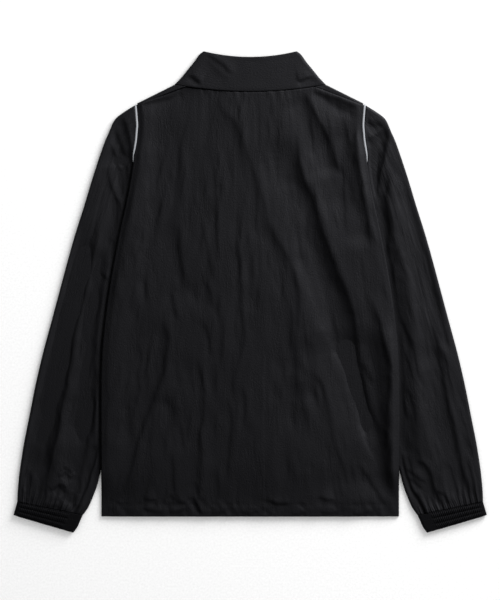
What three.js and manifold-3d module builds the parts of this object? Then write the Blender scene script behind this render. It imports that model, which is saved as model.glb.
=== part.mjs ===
// A light woven jacket laid flat on its front, with its back up: a stand collar, set-in sleeves
// with piping in the back armholes, gathered elastic cuffs, a turned-up hem and a zip front.
// Millimetres, +Z up. X runs across the shoulders and +Y from hem to collar. The origin is on the
// surface that the jacket lies on, at the middle of its outline.
import * as THREE from "three";
import { mergeVertices } from "three/addons/utils/BufferGeometryUtils.js";
import Module from "manifold-3d";

const { PI, abs, asin, cos, hypot, max, min, sin, sqrt } = Math;

// Driving dimensions of the cloth and of the way it lies
const CLOTH = 1.2; // wall of one layer of shell cloth
const COLLAR_CLOTH = 1.8; // the collar is two layers of it
const CUFF_CLOTH = 1.7; // and so is the cuff, round its elastic
const SEAM = 0.4; // between two pieces that are sewn together
const HEM = { y: -364, depth: 20, proud: 0.5, height: 7.8 }; // turned-up hem of the body
const CROSSING_Y = 215.5; // where the armhole goes under the folded side of the body
const SHOULDER_Y = 302.4; // where it ends at the shoulder
const FOLD_RADIUS = 2.6; // outside radius of the body's folded sides
const OVER_SLEEVE = 5.2; // underside of the body where it lies over a sleeve
const UNDER_BODY = 4.2; // top of the sleeve there
const SHOULDER_RADIUS = 4;
// how far the sleeve's folded edges reach in; the inner one widens towards the wrist
const SLEEVE_TURN = { outer: 4.2, hidden: 2.1, wrist: 3.2, from: 0.72, over: 0.2 };
const ARM_HEIGHT = 7.4; // height of the sleeve at its folded outer edge
const WRIST_HEIGHT = 6.6;
const SLEEVE_LOFT = 2.4; // how much more there is in its middle
const LOFT_ROUNDNESS = 0.75; // power of the curve across it: lower is flatter on top
const CUFF_LOFT_SHARE = 0.4; // and how much of that near the cuff
const SLEEVE_FADE = { edge: 0.12, wrist: 0.2 }; // shares over which creases and height change
const UPPER_ARM = { height: 7.6, from: 212, over: 24 }; // where the sleeve rises to the piping
const BESIDE_BODY = { clear: 2, over: 60 }; // and where it rises beside the body's side
const ARM_OFFSET = { low: 0.2, from: 188, over: 14 }; // of the sleeve's edge outside the armhole
const PIPING_CLEAR = { from: 240, over: 40 }; // where the front's armhole makes room for piping
const BACK_HEIGHT = 11; // height of the back in the middle, where it sags between its sides
const ARMHOLE_HEIGHT = 8.6; // and along the armhole
const BACK_SLOPE = { side: 80, top: 60, hem: 90 }; // width over which it leaves the height of its edges
const ARMHOLE_RISE = 40; // length over which the side fold becomes the armhole's edge
const FOLD_FADE = { clear: 4, over: 22 }; // creases end this far inside the folded sides
const SIDE_RISE = { from: -338, over: 50 }; // where the side fold starts to rise over the sleeve
const TUCK = { length: 1.6, over: 18 }; // cloth turned under along the armhole, above the fold
const DESCENT = { below: 22, over: 60, reach: 9, overlap: 1 }; // of the side to its seam
const NECK_RISE = 2.6; // how much more than the shoulder's height the neck seam has in the middle
const COLLAR_TOP_RISE = 1; // and the collar's top edge
const PIPING_RADIUS = 1.5;

// Edges of the pieces in plan, on the wearer's right; the left is the same mirrored
const point = (x, y) => new THREE.Vector2(x, y);
const edge = (...rows) => new THREE.SplineCurve(rows.map(([x, y]) => point(x, y)));

// columns: x, y
const SIDE_FOLD = edge(
  [241.5, -364], [241.5, -310], [242, -240], [242, -156], [240.5, -102], [237.5, -66],
  [231, -13], [222.5, 40], [211.5, 98], [200, 150], [194, 182], [188.7, CROSSING_Y],
);
const ARMHOLE = edge(
  [138, 92], [150, 112], [165, 142], [178, 173], [185.5, 198], [188.7, CROSSING_Y],
  [187.9, 227], [185.7, 240.5], [183.7, 254.5], [182.9, 270], [183.9, 285],
  [185.5, SHOULDER_Y],
);
const SIDE_SEAM = edge(
  [237.5, -364], [235.5, -335], [231, -300], [224, -262], [211, -210], [193, -140],
  [169, -60], [145.5, 20], [139, 60], [138, 92],
);
const SLEEVE_OUTER = edge(
  [187.8, SHOULDER_Y], [200, 295], [209.8, 288.4], [218, 281.7], [223, 273.5], [227.6, 262.4],
  [238, 238], [254.3, 189.5], [269, 141], [284.3, 92.3], [298, 43.7], [311, -5],
  [324, -53.5], [337, -102], [348.3, -150.7], [358, -199.3], [367.5, -248], [374, -290],
  [377, -320], [378, -340.2],
);
const SLEEVE_INNER = edge(
  [138.2, 92], [146.5, 60], [160, 20], [183, -60], [204, -140], [222, -210], [234, -262],
  [242.6, -291], [248.5, -314], [255, -332], [263, -350], [271.4, -361.8],
);
const COLLAR_SIDE = edge(
  [122.6, 336.4], [112, 347.4], [102, 359.8], [91.5, 372.6], [83, 384.5], [76, 390.2],
);
const CUFF_OUTER = edge([378, -340.6], [381, -351], [384, -361.4]);
const CUFF_INNER = edge([271.6, -362.2], [275.5, -371], [280.5, -382], [286.6, -390.2]);

// Lines across the neck and collar, by their height at the middle; they rise outwards as x squared
const NECK_SEAM_Y = 324.6;
const COLLAR_TOP_Y = 380.8;
const FRONT_NECK_INSET = 0.32; // moved along the neckline, clear of the shoulder
const FRONT_NECK_Y = 268; // neckline at the zip, hidden below
const FRONT_COLLAR_TOP_Y = 330;

// The shoulder: its folded edge and, a little behind it, its seam, from the armhole to the neck
const SHOULDER_EDGE = [point(183.4, 306), point(123.9, 335.6)];
const SHOULDER_SEAM = [point(183, 303.4), point(104.3, 333.1)];
const SHOULDER_INWARD = point(-0.56, -0.83);

// The zip, hidden in the front. Its slider is at the top, where the cloth rises over it
const ZIP = { chain: 3, tape: 14, level: 2.4, thick: 0.8, bottom: -363, top: 322 };
const SLIDER = { width: 8.6, length: 14, plate: 1.1, clear: 0.6, post: 3.6 };
const LIFT = { height: 3, from: 285, over: 27, flat: 8, fade: 28 };

// Each cuff is plain beside the underarm seam; its ribs fade at both ends of the rest
const CUFF = { ribs: 28, plain: 0.15, rib: 0.4, height: 7, loft: 0.8, turn: 0.034, fade: [0.1, 0.06] };
const CUFF_SWELL = [0.25, 0.8]; // the part of a half wave that its height follows, sleeve to wrist
const GATHERS = { count: 12, height: 1.1, length: 62 }; // of a sleeve above its cuff

// Largest folds. columns: x, y of the head, middle and foot, width, height (below 0 a trough)
const BACK_FOLDS = foldsOf([
  [74, 250, 122, 68, 182, -128, 18, -3.6],
  [82, 320, 118, 255, 140, 200, 16, -3.2],
  [104, -26, 160, -150, 200, -282, 22, 2.6],
  [-58, 316, -22, 226, 22, 112, 26, -2.6],
  [32, 92, 70, -20, 72, -160, 20, -2.8],
  [-120, 110, -142, -90, -200, -300, 20, -2.8],
  [-90, -70, -80, -200, -88, -320, 16, -2.2],
  [-44, 200, -34, 20, -38, -180, 26, 1.6],
  [-176, 130, -190, -60, -206, -250, 26, 1.4],
  [200, -10, 218, -150, 222, -300, 13, -2.4],
  [96, -130, 120, -200, 142, -290, 15, -2],
]);
const SLEEVE_FOLDS = {
  right: foldsOf([
    [220, 240, 208, 196, 196, 156, 11, -3.2],
    [222, 176, 220, 120, 216, 70, 13, -2.6],
    [296, -100, 322, -215, 352, -330, 15, -3.2],
    [232, 150, 272, -20, 300, -260, 26, 2.2],
    [274, -282, 288, -300, 300, -336, 12, -2.6],
  ]),
  left: foldsOf([
    [-218, 268, -206, 236, -196, 206, 11, -3.2],
    [-232, 214, -230, 168, -218, 104, 12, -2.8],
    [-250, 108, -296, -120, -334, -322, 16, -3.6],
    [-232, 20, -262, -120, -296, -280, 24, 2.2],
    [-256, -184, -272, -250, -286, -336, 11, -2.4],
  ]),
};

// Numbers of columns and rows of the walls
const ARC = 3; // columns round a folded edge
const BACK_GRID = { across: 36, rows: 19, armhole: 6 };
const SLEEVE_GRID = { over: 2 * GATHERS.count, under: 8 };
const SLEEVE_ROWS = [
  0, 0.035, 0.08, 0.14, 0.21, 0.29, 0.37, 0.46, 0.55, 0.64, 0.73, 0.81, 0.88, 0.94, 0.975, 1,
];
const CUFF_ROWS = 3;
const FRONT_GRID = { across: 8, side: 9 };
const COLLAR_GRID = { back: 16, front: 6, rows: 5 };
const FRONT_SPACING = 0.8; // closer columns towards the neck's side

function foldsOf(rows) {
  return rows.map(([x0, y0, x1, y1, x2, y2, width, height]) => ({
    line: new THREE.SplineCurve([point(x0, y0), point(x1, y1), point(x2, y2)]).getPoints(12),
    width,
    height,
  }));
}

const mix = (a, b, t) => a + (b - a) * t;
const ease = (t) => {
  const s = min(1, max(0, t));
  return s * s * (3 - 2 * s);
};
const range = (n) => Array.from({ length: n + 1 }, (_, i) => i / n);

// x of an edge, whose y rises or falls all the way, at a given y
const traced = new Map();
function xAt(curve, y) {
  if (!traced.has(curve)) traced.set(curve, curve.getPoints(240));
  const points = traced.get(curve);
  const rises = points.at(-1).y > points[0].y;
  const ahead = points.findIndex((p) => (rises ? p.y >= y : p.y <= y));
  if (ahead <= 0) return points.at(ahead).x;
  const [a, b] = [points[ahead - 1], points[ahead]];
  return mix(a.x, b.x, (y - a.y) / (b.y - a.y));
}

// Height that a list of folds adds at (x, y): soft ridges and troughs that fade at both ends
function relief(folds, x, y) {
  let sum = 0;
  for (const { line, width, height } of folds) {
    let best = Infinity;
    let along = 0;
    for (let i = 0; i + 1 < line.length; i++) {
      const [a, b] = [line[i], line[i + 1]];
      const span = (b.x - a.x) ** 2 + (b.y - a.y) ** 2;
      const t = min(1, max(0, ((x - a.x) * (b.x - a.x) + (y - a.y) * (b.y - a.y)) / span));
      const away = hypot(x - mix(a.x, b.x, t), y - mix(a.y, b.y, t));
      if (away < best) [best, along] = [away, (i + t) / (line.length - 1)];
    }
    const fade = ease(along / 0.25) * ease((1 - along) / 0.25);
    sum += height * fade * Math.exp(-((best / width) ** 2));
  }
  return sum;
}

// A patch between four edges, each a function of 0..1: bottom and top run along u, left and right
// along v
function patch(bottom, top, left, right) {
  const corners = [bottom(0), bottom(1), top(0), top(1)];
  return (u, v) =>
    point(0, 0)
      .addScaledVector(bottom(u), 1 - v)
      .addScaledVector(top(u), v)
      .addScaledVector(left(v), 1 - u)
      .addScaledVector(right(v), u)
      .addScaledVector(corners[0], -(1 - u) * (1 - v))
      .addScaledVector(corners[1], -u * (1 - v))
      .addScaledVector(corners[2], -(1 - u) * v)
      .addScaledVector(corners[3], -u * v);
}

// Normal of a grid of points at row j, column i; a closed grid joins its last column to its first
function normalAt(grid, i, j, closed) {
  const [rows, cols] = [grid.length, grid[0].length];
  const column = (k) => (closed ? (k + cols) % cols : min(cols - 1, max(0, k)));
  const across = grid[j][column(i + 1)].clone().sub(grid[j][column(i - 1)]);
  const along = grid[min(rows - 1, j + 1)][i].clone().sub(grid[max(0, j - 1)][i]);
  return across.cross(along).normalize();
}

// A wall of cloth whose outside is a grid of points, in rows of columns
function wall(outer, thick, closed = false) {
  const [rows, cols] = [outer.length, outer[0].length];
  const inner = outer.map((row, j) =>
    row.map((p, i) => p.clone().addScaledVector(normalAt(outer, i, j, closed), -thick)),
  );
  const faces = [];
  const out = (i, j) => j * cols + (i % cols);
  const back = (i, j) => rows * cols + out(i, j);
  const quad = (a, b, c, d) => faces.push(a, b, c, a, c, d);
  const [lastRow, lastCol] = [rows - 1, cols - 1];
  const across = closed ? cols : lastCol;
  for (let j = 0; j < lastRow; j++)
    for (let i = 0; i < across; i++) {
      quad(out(i, j), out(i + 1, j), out(i + 1, j + 1), out(i, j + 1));
      quad(back(i, j), back(i, j + 1), back(i + 1, j + 1), back(i + 1, j));
    }
  for (let i = 0; i < across; i++) {
    quad(back(i, 0), back(i + 1, 0), out(i + 1, 0), out(i, 0));
    quad(out(i, lastRow), out(i + 1, lastRow), back(i + 1, lastRow), back(i, lastRow));
  }
  for (let j = 0; !closed && j < lastRow; j++) {
    quad(out(0, j), out(0, j + 1), back(0, j + 1), back(0, j));
    quad(back(lastCol, j), back(lastCol, j + 1), out(lastCol, j + 1), out(lastCol, j));
  }
  return geometryOf([...outer.flat(), ...inner.flat()], faces);
}

function geometryOf(points, faces) {
  const geometry = new THREE.BufferGeometry().setFromPoints(points);
  geometry.setIndex(faces);
  geometry.computeVertexNormals();
  return geometry;
}

// The grid of the wearer's right side, or the same on the left, still facing out
const sided = (side, grid) =>
  side > 0
    ? grid
    : grid.map((row) => row.map((p) => new THREE.Vector3(-p.x, p.y, p.z)).reverse());

// Neck and shoulder
const neckShare = (x) => (x / COLLAR_SIDE.points[0].x) ** 2;
const neckSeamY = (x) => mix(NECK_SEAM_Y, COLLAR_SIDE.points[0].y, neckShare(x));
const frontNeckY = (x) => mix(FRONT_NECK_Y, COLLAR_SIDE.points[0].y, neckShare(x));
const neckHeight = (x) => 2 * SHOULDER_RADIUS + NECK_RISE * (1 - min(1, neckShare(x)));

// Height that the slider lifts the closed front, near the top of the collar
const lift = (x, y) =>
  LIFT.height * ease((y - LIFT.from) / LIFT.over) * (1 - ease((abs(x) - LIFT.flat) / LIFT.fade));

// Upper edge of the back panel: shoulder seam, neck seam, shoulder seam
function backTopY(x) {
  const [arm, neck] = SHOULDER_SEAM;
  if (abs(x) <= neck.x) return neckSeamY(x) - SEAM;
  return mix(neck.y, arm.y, (abs(x) - neck.x) / (arm.x - neck.x)) - SEAM;
}

// Side of the body as it shows: its fold, and above that the armhole
const bodySide = (y) => xAt(y > CROSSING_Y ? ARMHOLE : SIDE_FOLD, y);

// Height of the underside of the body's side fold: over the sleeve, then down to the surface
const foldBottom = (y) => OVER_SLEEVE * ease((y - SIDE_RISE.from) / SIDE_RISE.over);

// Outer height of the back panel
function backHeight(x, y) {
  const inside = bodySide(y) - abs(x);
  const free = ease((inside - FOLD_FADE.clear) / FOLD_FADE.over);
  const folded = foldBottom(y) + 2 * FOLD_RADIUS;
  const rim = mix(folded, ARMHOLE_HEIGHT, ease((y - CROSSING_Y) / ARMHOLE_RISE));
  const crown = mix(neckHeight(x), BACK_HEIGHT, ease((backTopY(x) - y) / BACK_SLOPE.top));
  const middle = mix(HEM.height, crown, ease((y - HEM.y) / BACK_SLOPE.hem));
  const hem = y < HEM.y + HEM.depth ? HEM.proud : 0;
  const plain = mix(rim, middle, ease(inside / BACK_SLOPE.side));
  return plain + (relief(BACK_FOLDS, x, y) + hem) * free;
}

// Length of the back panel past the start of its side fold, where the fold's edge is at y
function foldedUnder(y) {
  const above = ease((y - CROSSING_Y) / TUCK.over);
  if (y >= CROSSING_Y) return mix((PI / 2) * FOLD_RADIUS, TUCK.length, above);
  const start = xAt(SIDE_FOLD, y) - FOLD_RADIUS;
  const end = xAt(y > ARMHOLE.points[0].y ? ARMHOLE : SIDE_SEAM, y);
  const turn = FOLD_RADIUS * (PI - asin(min(1, max(0, (end - start) / FOLD_RADIUS))));
  return turn + max(0, start - end);
}

// Where cloth lies that turns over at an edge, s past the start of the turn
function turned(s) {
  const half = PI * FOLD_RADIUS;
  if (s >= half) return { gap: FOLD_RADIUS + s - half, drop: 2 * FOLD_RADIUS };
  const angle = s / FOLD_RADIUS;
  return { gap: FOLD_RADIUS * (1 - sin(angle)), drop: FOLD_RADIUS * (1 - cos(angle)) };
}

// How far the folded-under cloth has come down to the side seam, beyond the sleeve
function comeDown(x, y) {
  const seam = xAt(SIDE_SEAM, y);
  const room = min(DESCENT.reach, xAt(SLEEVE_INNER, y) - seam + DESCENT.overlap);
  const below = ease((ARMHOLE.points[0].y - DESCENT.below - y) / DESCENT.over);
  return below > 0 ? below * ease((seam + room - x) / room) * foldBottom(y) : 0;
}

function backPanel() {
  const foldLength = SIDE_FOLD.getLength();
  const share = foldLength / (foldLength + SHOULDER_Y - CROSSING_Y);
  const right = (v) => {
    if (v <= share) return SIDE_FOLD.getPointAt(v / share);
    const t = (v - share) / (1 - share);
    const x = xAt(ARMHOLE, mix(CROSSING_Y, SHOULDER_Y, t)) - SEAM * ease(t * 4);
    return point(x, mix(CROSSING_Y, backTopY(x), t));
  };
  const left = (v) => point(-right(v).x, right(v).y);
  const lower = (u) => point(mix(left(0).x, right(0).x, u), HEM.y);
  const upper = (u) => {
    const x = mix(left(1).x, right(1).x, u);
    return point(x, backTopY(x));
  };
  const plan = patch(lower, upper, left, right);

  const rowAt = (v) => {
    const rim = right(v);
    const width = 2 * rim.x;
    const inset = FOLD_RADIUS / width;
    const over = range(BACK_GRID.across).map((t) => {
      const p = plan(mix(inset, 1 - inset, t), v);
      return new THREE.Vector3(p.x, p.y, backHeight(p.x, p.y));
    });
    const beyond = foldedUnder(rim.y);
    const arc = min(PI * FOLD_RADIUS, 0.6 * beyond);
    const tail = min(DESCENT.reach, (beyond - arc) / 2);
    const lengths = [
      ...range(ARC).slice(1).map((t) => arc * t),
      mix(arc, beyond - tail, 0.5), beyond - tail, beyond - tail / 2, beyond,
    ];
    const turn = (side) =>
      lengths.map((s) => {
        const { gap, drop } = turned(s);
        const p = plan(side > 0 ? 1 - gap / width : gap / width, v);
        const down = drop + comeDown(abs(p.x), rim.y);
        return new THREE.Vector3(p.x, p.y, over.at(side > 0 ? -1 : 0).z - down);
      });
    return [...turn(-1).reverse(), ...over, ...turn(1)];
  };

  const hemShare = (HEM.depth / foldLength) * share;
  const stitch = 0.0012; // half the height of the step at the hem's stitch line, as a share
  const body = range(BACK_GRID.rows).map((t) => mix(hemShare + stitch, share, t));
  const armhole = range(BACK_GRID.armhole).slice(1).map((t) => mix(share, 1, t));
  return wall([0, hemShare - stitch, ...body, ...armhole].map(rowAt), CLOTH);
}

// The sleeve's edge at the armhole, from shoulder to underarm; the piping lies inside it
function armEdge(u) {
  const p = ARMHOLE.getPointAt(1 - u);
  const up = ease((p.y - ARM_OFFSET.from) / ARM_OFFSET.over);
  p.x += mix(ARM_OFFSET.low, PIPING_RADIUS + 2 * SEAM, up);
  return p;
}

// Columns of the sleeve's lower layer, which the front's armhole shares
const underShares = (inset) => range(SLEEVE_GRID.under).map((t) => mix(1 - inset[1], inset[0], t));

function lengthOf(points) {
  return points.slice(1).reduce((sum, p, i) => sum + p.distanceTo(points[i]), 0);
}

function sleeveInset(plan, v) {
  const width = lengthOf(range(24).map((u) => plan(u, v)));
  const { outer, hidden, wrist, from, over } = SLEEVE_TURN;
  return [outer / width, mix(hidden, wrist, ease((v - from) / over)) / width];
}

const sleevePlan = patch(
  armEdge,
  (u) => SLEEVE_OUTER.points.at(-1).clone().lerp(SLEEVE_INNER.points.at(-1), u),
  (v) => SLEEVE_OUTER.getPointAt(v),
  (v) => SLEEVE_INNER.getPointAt(v),
);

// Outer height of a sleeve's upper layer
function sleeveHeight(side, u, v, p) {
  const reach = SLEEVE_OUTER.getLength();
  const { edge: fade, wrist } = SLEEVE_FADE;
  const rim = mix(ARM_HEIGHT, WRIST_HEIGHT, max(u, ease((v - 1) / wrist + 1)));
  const edgeFade = ease(u / fade) * ease((1 - u) / fade);
  const nearCuff = ease(1 - ((1 - v) * reach) / GATHERS.length);
  const gather = GATHERS.height * nearCuff * cos(2 * PI * GATHERS.count * u);
  const folds = relief(SLEEVE_FOLDS[side > 0 ? "right" : "left"], side * p.x, p.y);
  const loft = SLEEVE_LOFT * mix(1, CUFF_LOFT_SHARE, nearCuff) * max(0, sin(PI * u)) ** LOFT_ROUNDNESS;
  const full = rim + loft + (folds * (1 - nearCuff) + gather) * edgeFade;
  const raised = ease((p.y - UPPER_ARM.from) / UPPER_ARM.over);
  const atBody = mix(UNDER_BODY, UPPER_ARM.height, raised);
  const outside = p.x - bodySide(max(HEM.y, p.y));
  const share = ease((outside - BESIDE_BODY.clear) / BESIDE_BODY.over);
  return mix(atBody, full, max(share, nearCuff * ease(outside / GATHERS.length)));
}

// Columns round a folded edge from the top layer to the bottom one, without either end
const turnAngles = range(ARC).slice(1, -1).map((t) => PI * t);

// A flattened tube: columns over, round the inner edge, under, and round the outer edge
function tubeRow(at, heightAt, inset, overShares, underColumns) {
  const place = (u, z) => {
    const p = at(u);
    return new THREE.Vector3(p.x, p.y, z);
  };
  const over = overShares.map((t) => {
    const u = mix(inset[0], 1 - inset[1], t);
    return place(u, heightAt(u));
  });
  const round = (inner) => {
    const [end, reach] = inner ? [over.at(-1), inset[1]] : [over[0], inset[0]];
    const points = turnAngles.map((a) => {
      const gap = reach * (1 - sin(a));
      return place(inner ? 1 - gap : gap, (end.z * (1 + cos(a))) / 2);
    });
    return inner ? points : points.reverse();
  };
  return [...over, ...round(true), ...underColumns.map((u) => place(u, 0)), ...round(false)];
}

function sleeve(side) {
  const grid = SLEEVE_ROWS.map((v) => {
    const inset = sleeveInset(sleevePlan, v);
    return tubeRow(
      (u) => sleevePlan(u, v),
      (u) => sleeveHeight(side, u, v, sleevePlan(u, v)),
      inset,
      range(SLEEVE_GRID.over),
      underShares(inset),
    );
  });
  return wall(sided(side, grid), CLOTH, true);
}

function cuff(side) {
  const plan = patch(
    (u) => CUFF_OUTER.points[0].clone().lerp(CUFF_INNER.points[0], u),
    (u) => CUFF_OUTER.points.at(-1).clone().lerp(CUFF_INNER.points.at(-1), u),
    (v) => CUFF_OUTER.getPointAt(v),
    (v) => CUFF_INNER.getPointAt(v),
  );
  const inset = [CUFF.turn, CUFF.turn];
  // highest a little before the middle of its length, and lower towards the wrist
  const swell = (v) => sin(PI * mix(...CUFF_SWELL, v));
  const gathered = range(2 * CUFF.ribs).map((t) => t * (1 - CUFF.plain));
  const grid = range(CUFF_ROWS).map((v) => {
    const heightAt = (u) => {
      const t = (u - CUFF.turn) / (1 - 2 * CUFF.turn) / (1 - CUFF.plain);
      const ribbed = ease(t / CUFF.fade[0]) * ease((1 - t) / CUFF.fade[1]);
      const rib = CUFF.rib * cos(2 * PI * CUFF.ribs * t) * ribbed;
      return CUFF.height + CUFF.loft * sin(PI * u) * swell(v) + rib;
    };
    return tubeRow((u) => plan(u, v), heightAt, inset, [...gathered, 1], underShares(inset));
  });
  return wall(sided(side, grid), CUFF_CLOTH, true);
}

// The collar: one strip round the neck, folded at both sides, its ends at the zip
function collar() {
  const zipEdge = ZIP.chain + SEAM;
  const rowAt = (v) => {
    const fold = COLLAR_SIDE.getPointAt(v);
    const heights = {
      back: mix(NECK_SEAM_Y, COLLAR_TOP_Y, v),
      front: mix(FRONT_NECK_Y, FRONT_COLLAR_TOP_Y, v),
    };
    const lineY = (middle, x) => mix(middle, fold.y, (x / fold.x) ** 2);
    const rise = mix(NECK_RISE, COLLAR_TOP_RISE, v);
    const reach = fold.x - SHOULDER_RADIUS;
    const over = range(COLLAR_GRID.back).map((t) => {
      const x = mix(-reach, reach, t);
      const z = 2 * SHOULDER_RADIUS + rise * (1 - (x / fold.x) ** 2);
      return new THREE.Vector3(x, lineY(heights.back, x), z);
    });
    const side = [
      ...turnAngles.map((a) => {
        const x = fold.x - SHOULDER_RADIUS * (1 - sin(a));
        const y = lineY(cos(a) > 0 ? heights.back : heights.front, x);
        return new THREE.Vector3(x, y, SHOULDER_RADIUS * (1 + cos(a)));
      }),
      ...range(COLLAR_GRID.front).map((t) => {
        const x = mix(reach, zipEdge, t ** FRONT_SPACING);
        const y = lineY(heights.front, x);
        return new THREE.Vector3(x, y, lift(x, y));
      }),
    ];
    const mirror = side.map((p) => new THREE.Vector3(-p.x, p.y, p.z)).reverse();
    return [...mirror, ...over, ...side];
  };
  return wall(range(COLLAR_GRID.rows).map(rowAt), COLLAR_CLOTH);
}

// One front: it lies on the surface, turns over the shoulder's edge and ends at the shoulder seam
function frontPanel(side) {
  const zipEdge = ZIP.chain + SEAM;
  const onFloor = (p) => new THREE.Vector3(p.x, p.y, 0);
  const armShares = underShares(sleeveInset(sleevePlan, 0)).slice(1, -1);
  const outer = [
    ...range(FRONT_GRID.side).map((t) => {
      const p = SIDE_SEAM.getPointAt(t);
      return onFloor(point(p.x - 2 * SEAM, p.y));
    }),
    ...armShares.map((u) => {
      const p = armEdge(u);
      const clear = ease((p.y - PIPING_CLEAR.from) / PIPING_CLEAR.over);
      const forPiping = (2 * PIPING_RADIUS + SEAM) * clear;
      return onFloor(point(p.x - SEAM - forPiping, p.y));
    }),
  ];
  const neckColumns = COLLAR_GRID.front;
  const reach = COLLAR_SIDE.points[0].x - SHOULDER_RADIUS;
  const neck = range(neckColumns).slice(1).map((t) => {
    const x = mix(reach, zipEdge, (1 - t) ** FRONT_SPACING);
    return onFloor(point(x + FRONT_NECK_INSET, frontNeckY(x) - SEAM));
  });
  const straight = outer.length + 1 - neck.length;
  const inner = range(straight - 1).map((t) => {
    const y = mix(HEM.y, FRONT_NECK_Y - SEAM, t);
    return onFloor(point(zipEdge, y));
  });
  inner.push(...neck);

  const columns = range(FRONT_GRID.across);
  const onShoulder = (ends, t) => ends[0].clone().lerp(ends[1], t);
  const under = (angle) =>
    columns.map((t) => {
      const p = onShoulder(SHOULDER_EDGE, t);
      p.addScaledVector(SHOULDER_INWARD, SHOULDER_RADIUS * (1 - sin(angle)));
      return new THREE.Vector3(p.x, p.y, SHOULDER_RADIUS * (1 - cos(angle)));
    });
  const over = (share) =>
    columns.map((t) => {
      const from = onShoulder(SHOULDER_EDGE, t);
      const to = onShoulder(SHOULDER_SEAM, t);
      const gap = min(SHOULDER_RADIUS, from.distanceTo(to) * share);
      const p = from.lerp(to, share);
      const round = SHOULDER_RADIUS + sqrt(SHOULDER_RADIUS ** 2 - (SHOULDER_RADIUS - gap) ** 2);
      const z = mix(round, neckHeight(p.x), t * share * share);
      return new THREE.Vector3(p.x, p.y, z);
    });
  const rows = outer.map((p, j) => columns.map((t) => p.clone().lerp(inner[j], t)));
  const turn = [0, PI / 4, PI / 2].map(under);
  const grid = [...rows, ...turn, ...[0.15, 0.45, 1].map(over)];
  return wall(sided(side, grid), CLOTH);
}

// Corded piping: it comes round the shoulder's edge, follows the armhole and dips under the fold
function piping(side) {
  // columns: y, height of the cord's middle
  const route = [[303.2, 5.6], [299.5, 7], [290, 7.4], [270, 7.5], [245, 7.5], [233, 7.3],
    [224, 6.6], [CROSSING_Y, 5.2], [208, 3.4]];
  const start = [[185.3, 296, 1.6], [185.6, 301, 1.8], [185.8, 304, 3.4]];
  const points = [
    ...start.map(([x, y, z]) => new THREE.Vector3(side * x, y, z)),
    ...route.map(([y, z]) => new THREE.Vector3(side * (xAt(ARMHOLE, min(y, SHOULDER_Y)) + 0.2), y, z)),
  ];
  const path = new THREE.CatmullRomCurve3(points, false, "centripetal");
  const round = new THREE.Shape().absarc(0, 0, PIPING_RADIUS, 0, 2 * PI);
  return new THREE.ExtrudeGeometry(round, {
    steps: 26,
    curveSegments: 4,
    bevelEnabled: false,
    extrudePath: path,
  });
}

// Closed bar through rings of points that face up the Y axis, with flat ends
function bar(rings) {
  const count = rings[0].length;
  const faces = [];
  const quad = (a, b, c, d) => faces.push(a, b, c, a, c, d);
  for (let j = 0; j + 1 < rings.length; j++)
    for (let i = 0; i < count; i++) {
      const next = (i + 1) % count;
      quad(j * count + i, j * count + next, (j + 1) * count + next, (j + 1) * count + i);
    }
  const outline = rings[0].map((p) => point(p.x, p.z));
  const last = (rings.length - 1) * count;
  for (const [a, b, c] of THREE.ShapeUtils.triangulateShape(outline, [])) {
    faces.push(a, b, c);
    faces.push(last + a, last + c, last + b);
  }
  return geometryOf(rings.flat(), faces);
}

function zipTape() {
  const { chain, tape, level, thick, bottom, top } = ZIP;
  const profile = [[-chain, 0], [-chain, level], [-tape, level], [-tape, level + thick],
    [tape, level + thick], [tape, level], [chain, level], [chain, 0]];
  const stations = [bottom, ...range(8).map((t) => mix(LIFT.from, top, t))];
  return bar(stations.map((y) => profile.map(([x, z]) => new THREE.Vector3(x, y, z + lift(x, y)))));
}

const { Manifold, Mesh } = await loadSolids();
async function loadSolids() {
  const solids = await Module();
  solids.setup();
  return solids;
}

// One body made of upright prisms, each a shape in plan between two heights
function joined(prisms) {
  const parts = prisms.map(({ shape, from, to }) => {
    const geometry = new THREE.ExtrudeGeometry(shape, { depth: to - from, bevelEnabled: false });
    const merged = mergeVertices(geometry.deleteAttribute("normal").deleteAttribute("uv"), 1e-4);
    merged.translate(0, 0, from);
    const { position } = merged.attributes;
    return new Manifold(
      new Mesh({ numProp: 3, vertProperties: position.array, triVerts: new Uint32Array(merged.index.array) }),
    );
  });
  const mesh = Manifold.union(parts).getMesh();
  const geometry = new THREE.BufferGeometry();
  geometry.setAttribute("position", new THREE.BufferAttribute(mesh.vertProperties, 3));
  geometry.setIndex(new THREE.BufferAttribute(mesh.triVerts, 1));
  geometry.computeVertexNormals();
  return geometry;
}

// The slider: a plate below the closed chain and one above it, joined beyond the chain's end
function zipSlider() {
  const { width, length, plate, clear, post } = SLIDER;
  const low = LIFT.height - clear;
  const high = LIFT.height + ZIP.level + ZIP.thick + 0.3;
  const foot = ZIP.top + 0.4;
  const start = foot + post - length;
  const box = (half, y0, y1) =>
    new THREE.Shape([point(-half, y0), point(half, y0), point(half, y1), point(-half, y1)]);
  const outline = new THREE.Shape([
    point(-width * 0.38, start), point(width * 0.38, start), point(width / 2, start + 3),
    point(width / 2, foot + post - 2), point(width * 0.3, foot + post),
    point(-width * 0.3, foot + post), point(-width / 2, foot + post - 2), point(-width / 2, start + 3),
  ]);
  return joined([
    { shape: outline, from: low - plate, to: low },
    { shape: outline, from: high, to: high + plate },
    { shape: box(2.2, foot, foot + post), from: low - plate / 2, to: high + plate / 2 },
  ]);
}

const FINISH = {
  shell: { color: 0x1b1c1f, roughness: 0.62, metalness: 0 },
  elastic: { color: 0x17181b, roughness: 0.8, metalness: 0 },
  piping: { color: 0xb9bcc0, roughness: 0.5, metalness: 0 },
  zip: { color: 0x16171a, roughness: 0.5, metalness: 0 },
  metal: { color: 0x55575b, roughness: 0.35, metalness: 0.9 },
};

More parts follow.
